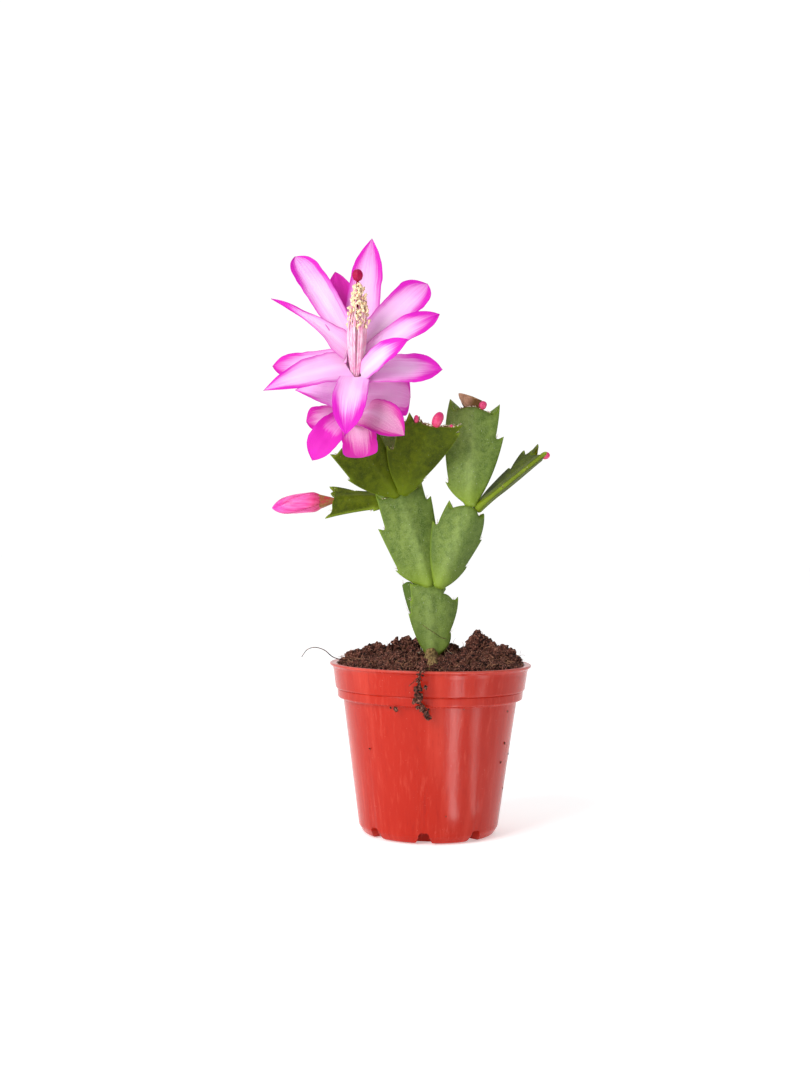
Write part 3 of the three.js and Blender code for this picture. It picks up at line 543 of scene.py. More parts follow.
strand_path = [
    (-1.5, -23.6, 53.2), (-2.1, -26.6, 53.1), (-2.8, -29.6, 52.6), (-3.3, -31.6, 50.6), (-3.9, -31, 47),
    (-3.8, -30.2, 43.6), (-2.8, -29.7, 41), (-1.4, -28.2, 38.4), (-1, -27.6, 37.6),
]
strand_branch = [(-3.4, -31.4, 49.6), (-5, -31.2, 48.4), (-6.4, -30.8, 46.9)]


def smooth_path(corners, count):
    """Evenly shared points on a smooth curve through the corners."""
    corners = np.array(corners, float)
    padded = np.concatenate([[2 * corners[0] - corners[1]], corners, [2 * corners[-1] - corners[-2]]])
    points = []
    for share in np.linspace(0, len(corners) - 1, count):
        k = min(int(share), len(corners) - 2)
        t = share - k
        a, b, c, d = padded[k:k + 4]
        square, cube = 2 * a - 5 * b + 4 * c - d, 3 * b - a - 3 * c + d
        points.append(0.5 * (2 * b + (c - a) * t + square * t**2 + cube * t**3))
    return np.array(points)


def swaying(count, seed, pace):
    """How far each point of a root sways along the three axes, before it is scaled."""
    return np.array([[lumpy(seed, i / pace, axis * 5, 1.0) for axis in range(3)] for i in range(count)])


strand_line, branch_line = smooth_path(strand_path, 60), smooth_path(strand_branch, 24)
root_parts = []
for turn in range(5):
    path = strand_line + swaying(60, turn * 9, 7) * np.array([0.55, 0.25, 0.3])
    root_parts.append(strand(path, 0.24 * np.linspace(1, 0.6, 60), 6))
for turn in range(2):
    path = branch_line + 0.3 * swaying(24, turn * 9 + 50, 6)
    root_parts.append(strand(path, 0.16 * np.linspace(1, 0.4, 24), 5))
for _ in range(120):
    share = 0.98 * chance.random() ** 0.8
    here = strand_line[int(share * 59)]
    scale, spread = (1.2, 0.8) if 0.5 < share < 0.85 else (0.75, 0.45)
    size = chance.uniform(0.22, 0.6) * scale
    shift = np.array([chance.gauss(0, spread), chance.uniform(-0.7, 0.1), chance.gauss(0, 0.4)])
    root_parts.append(crumb(here + shift, size, small_ball, chance))
for _ in range(26):
    here = strand_line[chance.randrange(12, 60)]
    heading = (chance.uniform(-1, 1), chance.uniform(-0.8, 0), chance.uniform(-0.6, 0.6))
    path = wandering(here, heading, chance.uniform(0.8, 2), chance, 5, 0.5)
    root_parts.append(strand(path, 0.05 * np.linspace(1, 0.5, 6), 4))
# x, y, height and size of the crumbs that stick to the wall
wall_crumbs = [
    (-10.2, -26.4, 39.8, 0.62), (-11.6, -26.1, 40.1, 0.3), (22.3, -15.9, 38.4, 0.3),
    (22.9, -12.4, 25.6, 0.22), (21.6, -10.5, 15.2, 0.2), (21.8, -11.2, 28.6, 0.28), (20.7, -11.5, 23, 0.26),
    (9.2, -25.3, 39.9, 0.2), (-17.6, -17.2, 27.2, 0.22), (4.6, -22, 8.8, 0.2),
]
root_parts += [crumb((x, y, z), size, small_ball, chance) for x, y, z, size in wall_crumbs]
lip_hair = [
    (-26.8, -2, 51.6), (-29.4, -3.4, 52.6), (-31.8, -4.2, 54.6), (-34.6, -4.4, 55.4), (-37, -4, 54.6),
    (-38.6, -3.6, 52.4),
]
root_parts.append(strand(smooth_path(lip_hair, 30), 0.17 * np.linspace(1, 0.6, 30), 5))
stem_hair = [(-2.6, -1.5, 62.4), (-0.6, -1.75, 61), (1.4, -1.9, 59.8), (3.2, -1.7, 58.6), (4.6, -1.2, 58.3)]
root_parts.append(strand(smooth_path(stem_hair, 24), 0.085 * np.linspace(0.7, 1, 24), 5))
add_piece("root_strand", joined(root_parts), soil_finish, "root_strand")

# ---- The stem segments ----------------------------------------------------------------------
# The stem is a chain of flat, fleshy segments, each grown on the blunt end of the one below, the
# older ones grey green with a faint bloom and the young shoots olive. Each has a raised midrib, a
# thin bright margin, hooked teeth, a notch behind each, and two horns beside its blunt end.

# The folds are in degrees, left and right. half_margin says how the teeth and the ends are given.
stem_segments = [
    dict(name="segment_a", base=(0.7, 0, 52.6), tip=(-0.5, 0, 74.3), facing=(0.05, -1, 0), fold=(6, 30),
         ridge=3.4,
         left=[(13.6, 6.9, 0.8), (17.3, 6.2, 0.4), (22.5, 6.1, 0)], left_end=[(5.2, 22.3)],
         right=[(7.2, 6.1, 0.5, 1.6), (17.8, 9.3, 0, 1)],
         right_end=[(7.5, 16.9), (6.9, 17.4), (6, 18.3), (4.9, 18.9), (3.7, 19.2), (4.5, 19.6), (5, 20.3),
                    (4.7, 21), (3.9, 21.3)]),
    dict(name="segment_a_wing", base=(0.7, 0.2, 52.6), tip=(-0.5, 0.2, 74.3), facing=(0.05, -1, 0),
         fold=(38, 6),
         left=[(9, 6.6, 0.7), (21.9, 10.2, 0)], left_end=[(9.7, 22.3), (8.6, 22.9), (6.5, 22.9)],
         right=[(9, 1.1, 0.2), (20, 1.1, 0)], right_end=[(0.9, 20.4)]),
    dict(name="segment_b", base=(-0.8, 0, 74), tip=(-9.6, 1.5, 102), facing=(0.15, -1, 0), fold=(5, 10),
         corky=0.7,
         left=[(7.5, 8.4, 0.9), (20.9, 9.8, 2.1), (31.8, 7.6, 0)], left_end=[(5.9, 29.2)],
         right=[(9, 7.2, 0.8), (26.2, 8.9, 1.8), (31.2, 7.3, 0)], right_end=[(5.6, 29.5)]),
    dict(name="segment_c", base=(2.2, -2, 73.9), tip=(11.1, -3, 98.3), facing=(0.05, -1, 0), fold=(8, 34),
         ridge=1.6, shaded=0.45,
         left=[(17.9, 8.9, 1.8), (25.4, 6.4, 0)], left_end=[(4.9, 23.4)],
         right=[(8.5, 6.8, 0.8), (17.7, 8.4, 0.8), (25.3, 5.6, 0)], right_end=[(4.2, 24)]),
    dict(name="segment_d", base=(-9, -0.6, 101.9), tip=(-1.3, -11, 121.7), facing=(0.05, -1, -0.3),
         fold=(6, 6), corky=1,
         left=[(12.8, 9.8, 2.4), (22.7, 9.2, 2.3), (25, 7.1, 0)],
         left_end=[(5.4, 22.5), (3.9, 23.1), (2.9, 24.4), (2.4, 23.5), (1.2, 23.6)],
         right=[(6.2, 4.5, 0.4), (24.2, 9.4, 1.3), (28, 10.2, 0)],
         right_end=[(7.9, 26), (6, 25.2), (3, 24.5)]),
    dict(name="segment_e", base=(-10.8, 1.2, 101.3), tip=(-24.3, -8.5, 117.7), facing=(0.1, -1, -0.2),
         fold=(6, 8),
         left=[(13.4, 8.9, 0.8), (23.2, 8.2, 0)], left_end=[(6.5, 22)],
         right=[(12, 7, 1.2), (22.6, 8, 0)], right_end=[(6.3, 21.6)]),
    dict(name="segment_f", base=(-12.8, 3.4, 100.2), tip=(-30.2, 6.5, 99.7), facing=(0, -0.75, 0.65),
         fold=(10, 10),
         left=[(5, 4.4, 0.7), (19.6, 6.8, 0, -1.2)], left_end=[(3.6, 17.7), (1.6, 18)],
         right=[(11.5, 4, 0.2), (20.1, 6.6, 0, 0.6)],
         right_end=[(3.9, 17.3), (3.8, 17.9), (3.3, 19.5), (2.6, 18.1), (1.7, 17.9)]),
    dict(name="segment_g", base=(-9, 3.6, 102.6), tip=(-10.6, 8, 124.3), facing=(0, -1, 0.1), fold=(8, 8),
         left=[(11, 7.4, 1.6), (22.8, 7, 0)], left_end=[(5.3, 21.4)],
         right=[(12, 8, 1.6), (23.6, 6.6, 0)], right_end=[(4.9, 21.4)]),
    dict(name="segment_h", base=(11.2, -2.6, 98.5), tip=(12.4, 2, 128.4), facing=(0, -1, 0), fold=(8, 12),
         corky=1,
         left=[(7, 7.9, 1.1), (32.6, 7.7, 0, 3.2)],
         left_end=[(6.1, 28.9), (5.2, 29.2), (4.1, 29.8), (2.4, 30.2)],
         right=[(22, 9.5, 2.6), (31.9, 7.8, 0, 0.9)],
         right_end=[(5.8, 28.4), (4.6, 28.9), (3.2, 29.4), (1, 30)]),
    dict(name="segment_i", base=(13, -1.5, 97.5), tip=(33.1, 4, 113.9), facing=(-0.6, -0.06, 0.74),
         fold=(-24, -6),
         left=[(18.3, 8, 1.6), (26.4, 11, 3.6), (30.4, 8.4, 0)], left_end=[(4.7, 25.4)],
         right=[(9, 5.6, 1), (18, 6.6, 1.2), (26.6, 5.6, 0)], right_end=[(3.9, 24.6)]),
]
young_segments = ("segment_d", "segment_e", "segment_f", "segment_i")


def curve(start, control, end, count):
    """Points on a curve from start to end, bent towards control, without its first point."""
    shares = np.linspace(0, 1, count + 1)[1:, None]
    start, control, end = [np.array(p, float) for p in (start, control, end)]
    return (1 - shares) ** 2 * start + 2 * shares * (1 - shares) * control + shares**2 * end


def half_margin(teeth, end, length):
    """The margin of one half as (out, along) points, and where on the midrib each point belongs.

    A tooth is how far along and out its point lies, how deep the notch behind it is, and how much
    the margin below it bulges. The end is the line from the last tooth, the horn, to the middle.
    """
    line = [np.array([[0, -0.7]]), curve((0, -0.7), (1.8, -0.8), (1.95, 0.6), 8)]
    keys = [(0, -0.7), (8, 0.4)]
    start = np.array((1.95, 0.6))
    for number, (along, out, notch, *bulge) in enumerate(teeth):
        if number == 0:
            control = (start[0] + 0.72 * (out - start[0]) + sum(bulge), start[1] + 0.42 * (along - start[1]))
        else:
            control = (max(start[0], out - 0.8) + sum(bulge), start[1] + 0.58 * (along - start[1]))
        line.append(curve(start, control, (out, along), 26))
        count = sum(len(part) for part in line)
        if number + 1 < len(teeth):
            keys.append((count - 1, along - 0.5 * out))
            start = np.array((out - notch, along - 0.35 * notch))
            line.append(curve((out, along), (out - 0.4 * notch, along - 0.5 * notch), start, 9))
            keys.append((count + 8, along - 0.5 * out + 0.6 + 0.2 * notch))
        else:
            keys.append((count - 1, along - 0.8 * out))
            foot = end[0]
            inner = (0.75 * out + 0.25 * foot[0], foot[1] + 0.12 * (along - foot[1]))
            line.append(curve((out, along), inner, foot, 10))
            keys.append((count + 9, along - 0.8 * out + 1.3))
            for corner, following in zip(end, end[1:]):
                line.append(curve(corner, 0.5 * np.add(corner, following), following, 5))
            control = (0.5 * end[-1][0], 0.15 * end[-1][1] + 0.85 * length)
            line.append(curve(end[-1], control, (0, length), 22))
    line = np.concatenate(line)
    keys.append((len(line) - 1, length))
    tips, notches = [[k for k, _ in keys[first:-1:2]] for first in (2, 3)]
    for _ in range(2):
        softer = line.copy()
        softer[1:-1] = 0.25 * line[:-2] + 0.5 * line[1:-1] + 0.25 * line[2:]
        softer[tips] = line[tips]
        line = softer
    ribs = np.interp(np.arange(len(line)), *zip(*keys))
    return line, np.maximum.accumulate(ribs + 1e-4 * np.arange(len(ribs))), tips, notches


def distance_to(line, points):
    """How far each point is from a line of points."""
    starts, steps = line[:-1], line[1:] - line[:-1]
    away = points[:, None, :] - starts[None]
    shares = np.clip((away * steps).sum(-1) / ((steps**2).sum(-1) + 1e-12), 0, 1)
    return np.linalg.norm(away - shares[..., None] * steps, axis=-1).min(1)


class Blade:
    """The frame of one segment and the shape of its flesh."""

    def __init__(self, name, base, tip, facing, fold, left, right, left_end, right_end,
                 ridge=0, corky=0, shaded=0):
        self.name, self.ridge, self.corky, self.shaded = name, ridge, corky, shaded
        self.node = name.removesuffix("_wing")
        self.fold = [math.radians(f) for f in fold]
        self.base = np.array(base, float)
        self.along = np.array(tip, float) - self.base
        self.length = float(np.linalg.norm(self.along))
        self.along /= self.length
        facing = np.array(facing, float)
        facing -= self.along * facing.dot(self.along)
        self.facing = facing / np.linalg.norm(facing)
        self.right = np.cross(self.along, self.facing)
        self.halves = [half_margin(left, left_end, self.length), half_margin(right, right_end, self.length)]

    def at(self, x, y, lift):
        """Points of the folded blade: out from the midrib, along it, and lifted off its middle plane."""
        out, forward, tilt = x, 0, 0
        for beyond, turn in ((np.minimum(x, 0), self.fold[0]), (np.maximum(x - self.ridge, 0), self.fold[1])):
            bend = np.sqrt(beyond * beyond + 1.2)
            out = out - beyond * (1 - math.cos(turn))
            forward = forward - (bend - math.sqrt(1.2)) * math.sin(turn)
            tilt = tilt + turn * beyond / bend
        out, forward = out + lift * np.sin(tilt), forward + lift * np.cos(tilt)
        ways = ((out, self.right), (y, self.along), (forward, self.facing))
        return self.base + sum(np.multiply.outer(far, way) for far, way in ways)

    def spot(self, *place):
        """The one point that lies so far out, along and lifted."""
        return self.at(*[np.array([far]) for far in place])[0]

    def flesh(self, x, y, edge):
        """Half the thickness of the blade where it is so far from its margin."""
        side = np.abs(x)
        end = np.clip((y - 0.5 * self.length) / (0.5 * self.length), 0, 1)
        joint = np.clip(1 - y / 6, 0, 1) ** 2 * np.exp(-((side / 3.5) ** 2))
        body = 0.96 - 0.42 * np.clip(side / 8, 0, 1) ** 1.3
        rib = (0.5 - 0.32 * end) * np.exp(-((side / 1.25) ** 2))
        half = body + rib + 0.42 * joint
        reach = np.clip(edge / (0.75 * half + 0.25), 0, 1)
        return half * np.sqrt(np.clip(1 - (1 - reach) ** 2, 0, 1))


def blade_shape(blade):
    """The skin of a segment and the measures that its colour follows."""
    left, right = blade.halves
    tooth_ribs = [half[1][half[2]] for half in (left, right)]
    ribs = np.unique(np.round(np.concatenate([np.linspace(-0.7, blade.length, 130), *tooth_ribs]), 4))
    shares = 1 - (1 - np.linspace(0, 1, 17)) ** 1.8
    grid = []
    for (line, line_ribs, *_), sign in ((left, -1), (right, 1)):
        ends = np.stack([np.interp(ribs, line_ribs, line[:, k]) for k in (0, 1)], 1)
        x = sign * ends[:, :1] * shares
        y = ribs[:, None] + (ends[:, 1:] - ribs[:, None]) * shares**1.15
        grid.append((x, y))
    x = np.concatenate([grid[0][0][:, ::-1], grid[1][0][:, 1:]], 1)
    y = np.concatenate([grid[0][1][:, ::-1], grid[1][1][:, 1:]], 1)
    outline = np.concatenate([left[0] * (-1, 1), right[0][::-1]])
    flat = np.stack([x, y], -1).reshape(-1, 2)
    edge = distance_to(outline, flat).reshape(x.shape)
    lift = blade.flesh(x, y, edge)
    ripple = np.array([noise.noise(Vector((px / 3.2, py / 5, 7))) for px, py in flat]).reshape(x.shape)
    lift = lift * (1 + 0.07 * ripple)
    lift[:, 0] = lift[:, -1] = lift[0] = lift[-1] = 0
    front, back = blade.at(x, y, lift), blade.at(x, y, -lift)
    tips = np.concatenate([left[0][left[2]] * (-1, 1), right[0][right[2]]])
    to_tip = np.linalg.norm(flat[:, None] - tips[None], axis=-1).min(1).reshape(x.shape)
    blunt = np.clip((6.6 - np.abs(x)) / 1.2, 0, 1) * blade.corky
    lowest = blade.name.startswith("segment_a")
    behind = 0.8 if blade.name.endswith("wing") else 0
    marks = {
        "rim": np.exp(-(edge / 0.3) ** 2),
        "margin": np.exp(-edge / 1.6),
        "joint": np.exp(-((y / 5.5) ** 2)) * (0.3 if lowest else 1),
        "shade": behind + blade.shaded * np.clip(x - 1, 0, 1),
        "tooth": np.exp(-(to_tip / 1.3) ** 2),
        "cork": np.exp(-((edge / 0.34) ** 2)) * np.clip((y - blade.length + 2.2) / 1.2, 0, 1) * blunt,
        "rib": np.exp(-((x / 1.4) ** 2)) * np.clip(1.15 - y / blade.length, 0, 1),
    }
    return front, back, marks


def closed_skin(front, back):
    """One closed skin from the front and the back of a thin shape on the same grid."""
    rows, columns = front.shape[:2]
    points = np.concatenate([front.reshape(-1, 3), back.reshape(-1, 3)])
    faces, start = [], rows * columns
    for i in range(rows - 1):
        for k in range(columns - 1):
            a = i * columns + k
            faces.append((a, a + 1, a + 1 + columns, a + columns))
            a += start
            faces.append((a + columns, a + 1 + columns, a + 1, a))
    return points, faces


stem_finishes = {}
for young in (False, True):
    flesh = Finish("young_stem" if young else "grey_green_stem", {
        "Specular IOR Level": 0.08 if young else 0.22, "Subsurface Weight": 0.06, "Subsurface Scale": 1.0,
        "Subsurface Radius": (0.0012, 0.0016, 0.0006),
    })
    skin = flesh.place()
    cells = flesh.grain(skin, 0.34, 3, 0.7)
    mottle = flesh.grain(skin, 1.6, 4, 0.6)
    streak = flesh.grain(flesh.place((1, 1, 0.3)), 3.2, 3)
    pores = flesh.step(flesh.grain(skin, 0.55, 1), 0.72, 0.77)
    if young:
        deep, pale, bloom = paint(50, 62, 0), paint(84, 97, 4), paint(102, 114, 16)
        fresh, edge, shadow = paint(106, 124, 18), paint(134, 154, 44), paint(46, 58, 0)
    else:
        deep, pale, bloom = paint(78, 102, 34), paint(120, 142, 62), paint(152, 170, 106)
        fresh, edge, shadow = paint(130, 154, 40), paint(124, 150, 34), paint(68, 92, 18)
    scab = flesh.grain(skin, 0.35, 4, 0.8)
    color = flesh.coats(
        flesh.two_tone(mottle * 0.6 + streak * 0.4, 0.34, 0.66, deep, pale),
        (flesh.step(cells, 0.42, 0.62) * 0.3, bloom), (flesh.mark("rib") * 0.25, bloom),
        (flesh.mark("margin") * 0.65, shadow), (flesh.mark("joint") * 0.7, fresh),
        (flesh.mark("tooth") * 0.55, edge), (flesh.mark("rim") * 0.55, edge), (flesh.mark("shade"), shadow),
        (flesh.step(flesh.mark("cork") * (0.4 + scab), 0.35, 0.65), paint(96, 70, 44)),
        (pores * (0.15 if young else 0.4), paint(196, 206, 172)),
    )
    flesh.wear(
        base_color=color,
        roughness=0.42 + cells * 0.12 + mottle * 0.1 - flesh.mark("rim") * 0.05,
        relief=(cells * 0.5 + mottle * 0.7 + pores * 0.6, 0.07),
    )
    stem_finishes[young] = flesh

blades = {}
for segment in stem_segments:
    blade = blades[segment["name"]] = Blade(**segment)
    young = blade.name in young_segments
    front, back, marks = blade_shape(blade)
    marks = {name: np.tile(values.reshape(-1), 2) for name, values in marks.items()}
    add_piece(blade.name, (*closed_skin(front, back), marks), stem_finishes[young], blade.node)

# A tuft of pale bristles sits in each notch. Three of the blunt ends are edged with bits of dry
# cork and more bristles.

bristle_finish = Finish("bristle", {"Specular IOR Level": 0.3})
bristle_tone = bristle_finish.grain(bristle_finish.place(), 0.7, 2)
bristle_finish.wear(
    base_color=bristle_finish.two_tone(bristle_tone, 0.4, 0.6, paint(150, 118, 80), paint(222, 214, 190)),
    roughness=0.6 + bristle_tone * 0.2,
)
chance = random.Random(33)
for blade in blades.values():
    tufts = []
    for (line, _, _, notches), sign in zip(blade.halves, (-1, 1)):
        for k in notches:
            for _ in range(4):
                spot = line[k] * (sign, 1) + (sign * 0.05, chance.uniform(-0.1, 0.25))
                root = blade.spot(*spot, chance.uniform(-0.2, 0.2))
                heading = sign * chance.uniform(0.1, 1.1) * blade.right + blade.along
                heading = heading + chance.uniform(-0.6, 0.9) * blade.facing
                path = wandering(root, heading, chance.uniform(0.5, 1.7), chance, 6, 0.3)
                tufts.append(strand(path, 0.05 * np.linspace(1, 0.4, 7), 4))
        ending = line[notches[-1]:]
        for _ in range(int(26 * blade.corky)):
            spot = ending[chance.randrange(len(ending))] * (sign, 1)
            root = blade.spot(spot[0], spot[1] - 0.05, chance.uniform(-0.25, 0.35))
            tufts.append(crumb(root, chance.uniform(0.1, 0.3), small_ball, chance))
            if chance.random() < 0.4:
                heading = (chance.uniform(-1, 1), chance.uniform(-1, 0.5), chance.uniform(0.3, 1))
                path = wandering(root, heading, chance.uniform(0.4, 1.1), chance, 5, 0.4)
                tufts.append(strand(path, 0.045, 4))
    if blade.name == "segment_a":
        for out, along in ((4.1, 3), (4.4, 3.8), (3.6, 1.8), (5.4, 6.6), (-3.4, 3.6), (-3, 2.6), (-6.8, 14)):
            root = blade.spot(out, along, 0.1)
            heading = (0.3 * math.copysign(1, out), -0.5, -0.9 if along < 6 else 0.4)
            path = wandering(root, heading, chance.uniform(2.2, 3.8), chance, 7, 0.35)
            tufts.append(strand(path, 0.07 * np.linspace(1, 0.5, 8), 4))
    add_piece(blade.name.replace("segment", "bristles"), joined(tufts), bristle_finish, blade.node)

# The lowest segment has turned to wood where it enters the peat, and a thick root leaves it there
# and lies along the peat to the lip.

wood_finish = Finish("old_stem_wood", {"Specular IOR Level": 0.25})
bark = wood_finish.grain(wood_finish.place((1, 0.2, 0.3)), 0.55, 4, 0.7)
bark_color = wood_finish.two_tone(bark, 0.36, 0.62, paint(84, 64, 34), paint(160, 134, 86))
wood_finish.wear(base_color=bark_color, roughness=0.75 + bark * 0.2, relief=(bark, 0.5))
neck_path = [
    (0.7, 0.3, 44), (0.7, 0, 50), (0.4, -1, 53.2), (0, -3.4, 53.3), (-0.1, -8, 52.7), (0, -14, 52.2),
    (0.3, -20, 51.3), (0.5, -25, 49.4),
]
neck_width = np.interp(np.linspace(0, 1, 90), (0, 0.3, 0.45, 0.8, 1), (2.2, 2, 1.75, 1.8, 1.2))
neck_points, neck_faces = strand(smooth_path(neck_path, 90), neck_width, 40)
gnarls = np.array([[lumpy(x + 9, y, z, 1.3), 0, lumpy(x, y + 9, z, 1.1)] for x, y, z in neck_points])
add_piece("woody_neck", (neck_points + 0.5 * gnarls, neck_faces), wood_finish, "segment_a")

# ---- The flower -----------------------------------------------------------------------------
# One bloom stands on the end of a young segment: a small green ovary, a slender tube that opens
# in an oblique mouth, twelve tepals round the mouth and six lower on the tube. They are thin as
# paper, pale lilac in the middle and magenta along the margins.


def unit(vector):
    return np.array(vector, float) / np.linalg.norm(vector)


flower_foot = np.array((-24.25, -9.1, 118.8))
flower_mouth = np.array((-23.1, -14.8, 139.8))
flower_face = unit((0, -0.9, 0.44))
mouth_right = np.array((1.0, 0, 0))
mouth_up = np.cross(flower_face, mouth_right)
mouth_half_width, mouth_half_height = 3, 5.4
tube_axis = unit(flower_mouth - flower_foot)
ovary_length = 3.4
tube_foot = flower_foot + ovary_length * tube_axis
tube_length = float(np.linalg.norm(flower_mouth - tube_foot))
tube_side = unit(np.cross(tube_axis, (1, 0, 0)))
tube_other = np.cross(tube_axis, tube_side)


def tube_skin():
    """The flower's tube, cut off along its mouth, with its inside."""
    heights = np.linspace(0, tube_length + 7, 240)
    stations = tube_length * np.array([0, 0.15, 0.5, 0.85, 1]) + (0, 0, 0, 0, 7)
    outer = np.interp(heights, stations, [2, 2.3, 3, 4.2, 4.6])
    rings = {0.0: [], 0.65: []}
    for angle in np.linspace(0, 2 * np.pi, 64, endpoint=False):
        outward = math.cos(angle) * tube_side + math.sin(angle) * tube_other
        flute = 1 + 0.025 * math.cos(8 * angle)
        wall = tube_foot + np.outer(heights, tube_axis) + np.outer(outer * flute, outward)
        open_at = heights[np.argmax((wall - flower_mouth) @ flower_face > -0.2)]
        for thin, lines in rings.items():
            up = np.linspace(0 if thin == 0 else 3, open_at, 26)
            radii = np.interp(up, heights, outer) * flute - thin
            lines.append(tube_foot + np.outer(up, tube_axis) + np.outer(radii, outward))
    outside, inside = [np.array(lines).transpose(1, 0, 2) for lines in rings.values()]
    return ring_skin([*outside, *inside[::-1]])


def leaf_skin(root, tip, inside, width, bow, cup, widest, point, foot, seed, thin=0.2, curl=0, sway=0):
    """A thin blade from root to tip whose upper side looks towards inside, and its measures."""
    rows, columns = 52, 21
    chord = tip - root
    face = unit(inside - chord * inside.dot(chord) / chord.dot(chord))
    middle = (root + tip) / 2 + 2 * bow * face
    shares = 1 - (1 - np.linspace(0, 1, rows)) ** 1.35
    x = np.sin(np.linspace(-1, 1, columns) * math.pi / 2)
    front, back = np.zeros((rows, columns, 3)), np.zeros((rows, columns, 3))
    for i, share in enumerate(shares):
        centre = (1 - share) ** 2 * root + 2 * share * (1 - share) * middle + share**2 * tip
        tangent = unit(2 * (1 - share) * (middle - root) + 2 * share * (tip - middle))
        side = unit(np.cross(tangent, face))
        normal = np.cross(side, tangent)
        centre = centre + side * sway * math.sin(math.pi * share)
        swell = foot + (1 - foot) * math.sin(math.pi / 2 * min(share / widest, 1))
        taper = 1 - max(0, (share - widest) / (1 - widest)) ** point
        half = max(width / 2 * swell * taper, 0.16 * width * (1 - share**6), 0.02)
        late = max(0, (share - 0.8) / 0.2)
        for k, across in enumerate(x):
            uneven = 1 + 0.07 * noise.noise(Vector((share * 4, seed, 4 if across > 0 else 9)))
            uneven += 0.05 * noise.noise(Vector((share * 13, seed, 14 if across > 0 else 19)))
            ruffle = noise.noise(Vector((share * 4, across * 1.1, seed + 0.5)))
            lift = cup * across**2 * half / (width / 2) + 0.55 * ruffle * min(1, share * 3) - curl * late**2
            lift += 0.22 * math.exp(-((across / 0.16) ** 2)) * (share - 0.3)
            spot = centre + side * across * half * uneven + normal * lift
            thick = thin * (1.6 - share) * math.sqrt(max(0, 1 - across**4)) * min(1, (1.001 - share) * 12)
            front[i, k], back[i, k] = spot + normal * thick, spot - normal * thick
    marks = {
        "across": np.tile(np.tile(x, rows), 2), "share": np.tile(np.repeat(shares, columns), 2),
        "under": np.repeat([0, 1], rows * columns),
    }
    return closed_skin(front, back), marks


# tip, width, place up the tube (1 is its mouth), turn round the mouth, then bow, cup, widest,
# point and foot as leaf_skin takes them, dusk, flush, curl and sway
tepals = [
    ((-19.4, 0, 178.6), 9.8, 1, 80, -2, 0.8, 0.62, 2.1, 0.9, 0.12, 0.6, 0, -0.4),
    ((-42.2, -6, 172.4), 8.8, 1, 118, 2, 0.9, 0.7, 4, 0.75, 0.05, 0.5, 1.3, 0),
    ((-30.6, 6, 168.8), 8, 1, 105, 0, 0.8, 0.6, 3.4, 0.9, 0.5, 5, -1, 0),
    ((-34, 6, 160.6), 4.6, 1, 112, 0, 0.8, 0.5, 2, 0.9, 0.5, 3, 0, 0),
    ((-48.5, -12, 158), 7.6, 1, 134, 2, 0.7, 0.2, 0.6, 1, 0.1, 1.5, 0, 0.6),
    ((-49.2, -24, 129.8), 10.6, 1, 196, 3, 0.8, 0.12, 2.5, 1, 0.03, 0.6, 0, -0.8),
    ((-48.4, -6, 139), 8.4, 1, 155, 1, 0.8, 0.6, 3.4, 0.7, 0.35, 0.9, 0, -2.2),
    ((-25.2, -33, 116.9), 9.7, 1, 268, 4.5, 0.7, 0.5, 3.4, 0.8, 0, 1, 0, 0),
    ((-41, -13, 131.2), 12.4, 0.5, 0, 1, 0.6, 0.25, 1.3, 1, 0, 0.2, 0, 0),
    ((1.9, -20, 137), 9.6, 1, 320, 2, 0.8, 0.65, 2.8, 0.85, 0.12, 1, 0, 0.7),
    ((-7.2, -11, 129.5), 14, 0.48, 0, 1, 0.6, 0.8, 5, 0.9, 0.3, 0.4, 0, 0),
    ((-8, -27, 144.6), 7.6, 1, 305, 2, 0.8, 0.5, 2.8, 0.8, 0, 1.2, 0, 0.5),
    ((1, -14, 153.8), 8, 1, 20, 2, 0.8, 0.6, 3, 0.7, 0.05, 1, 0, 0),
    ((-2.6, -7, 164.6), 10.6, 1, 55, 1, 0.9, 0.7, 3.6, 0.85, 0.03, 0.6, 1.2, 0),
    ((-37.6, -13, 121.9), 7.6, 0.04, 0, 2, 0.7, 0.7, 3.4, 0.8, 0.45, 0.9, 0, 0),
    ((-35.2, -20, 110.3), 9.2, 0.1, 0, 4, 0.8, 0.6, 3.2, 0.7, 0.3, 4.5, 0, 0),
    ((-21, -20, 111.2), 10.2, 0.1, 0, 3, 1.4, 0.8, 6, 0.6, 0.7, 0.9, 1, 0),
    ((-8.8, -23.5, 117.6), 11.6, 0.12, 0, 4.5, 0.7, 0.62, 2.2, 0.85, 0.8, 0.4, 0, 0),
]


def tepal_root(place, turn, tip):
    """Where a tepal grows: on the rim of the mouth, or on the side of the tube below it."""
    if place == 1:
        angle = math.radians(turn)
        aside, above = mouth_half_width * math.cos(angle), mouth_half_height * math.sin(angle)
        rim = aside * mouth_right + above * mouth_up
        return flower_mouth + rim - 0.8 * flower_face
    on_axis = tube_foot + tube_axis * tube_length * place
    outward = tip - on_axis
    return on_axis + unit(outward - tube_axis * outward.dot(tube_axis)) * (2 + 1.4 * place)


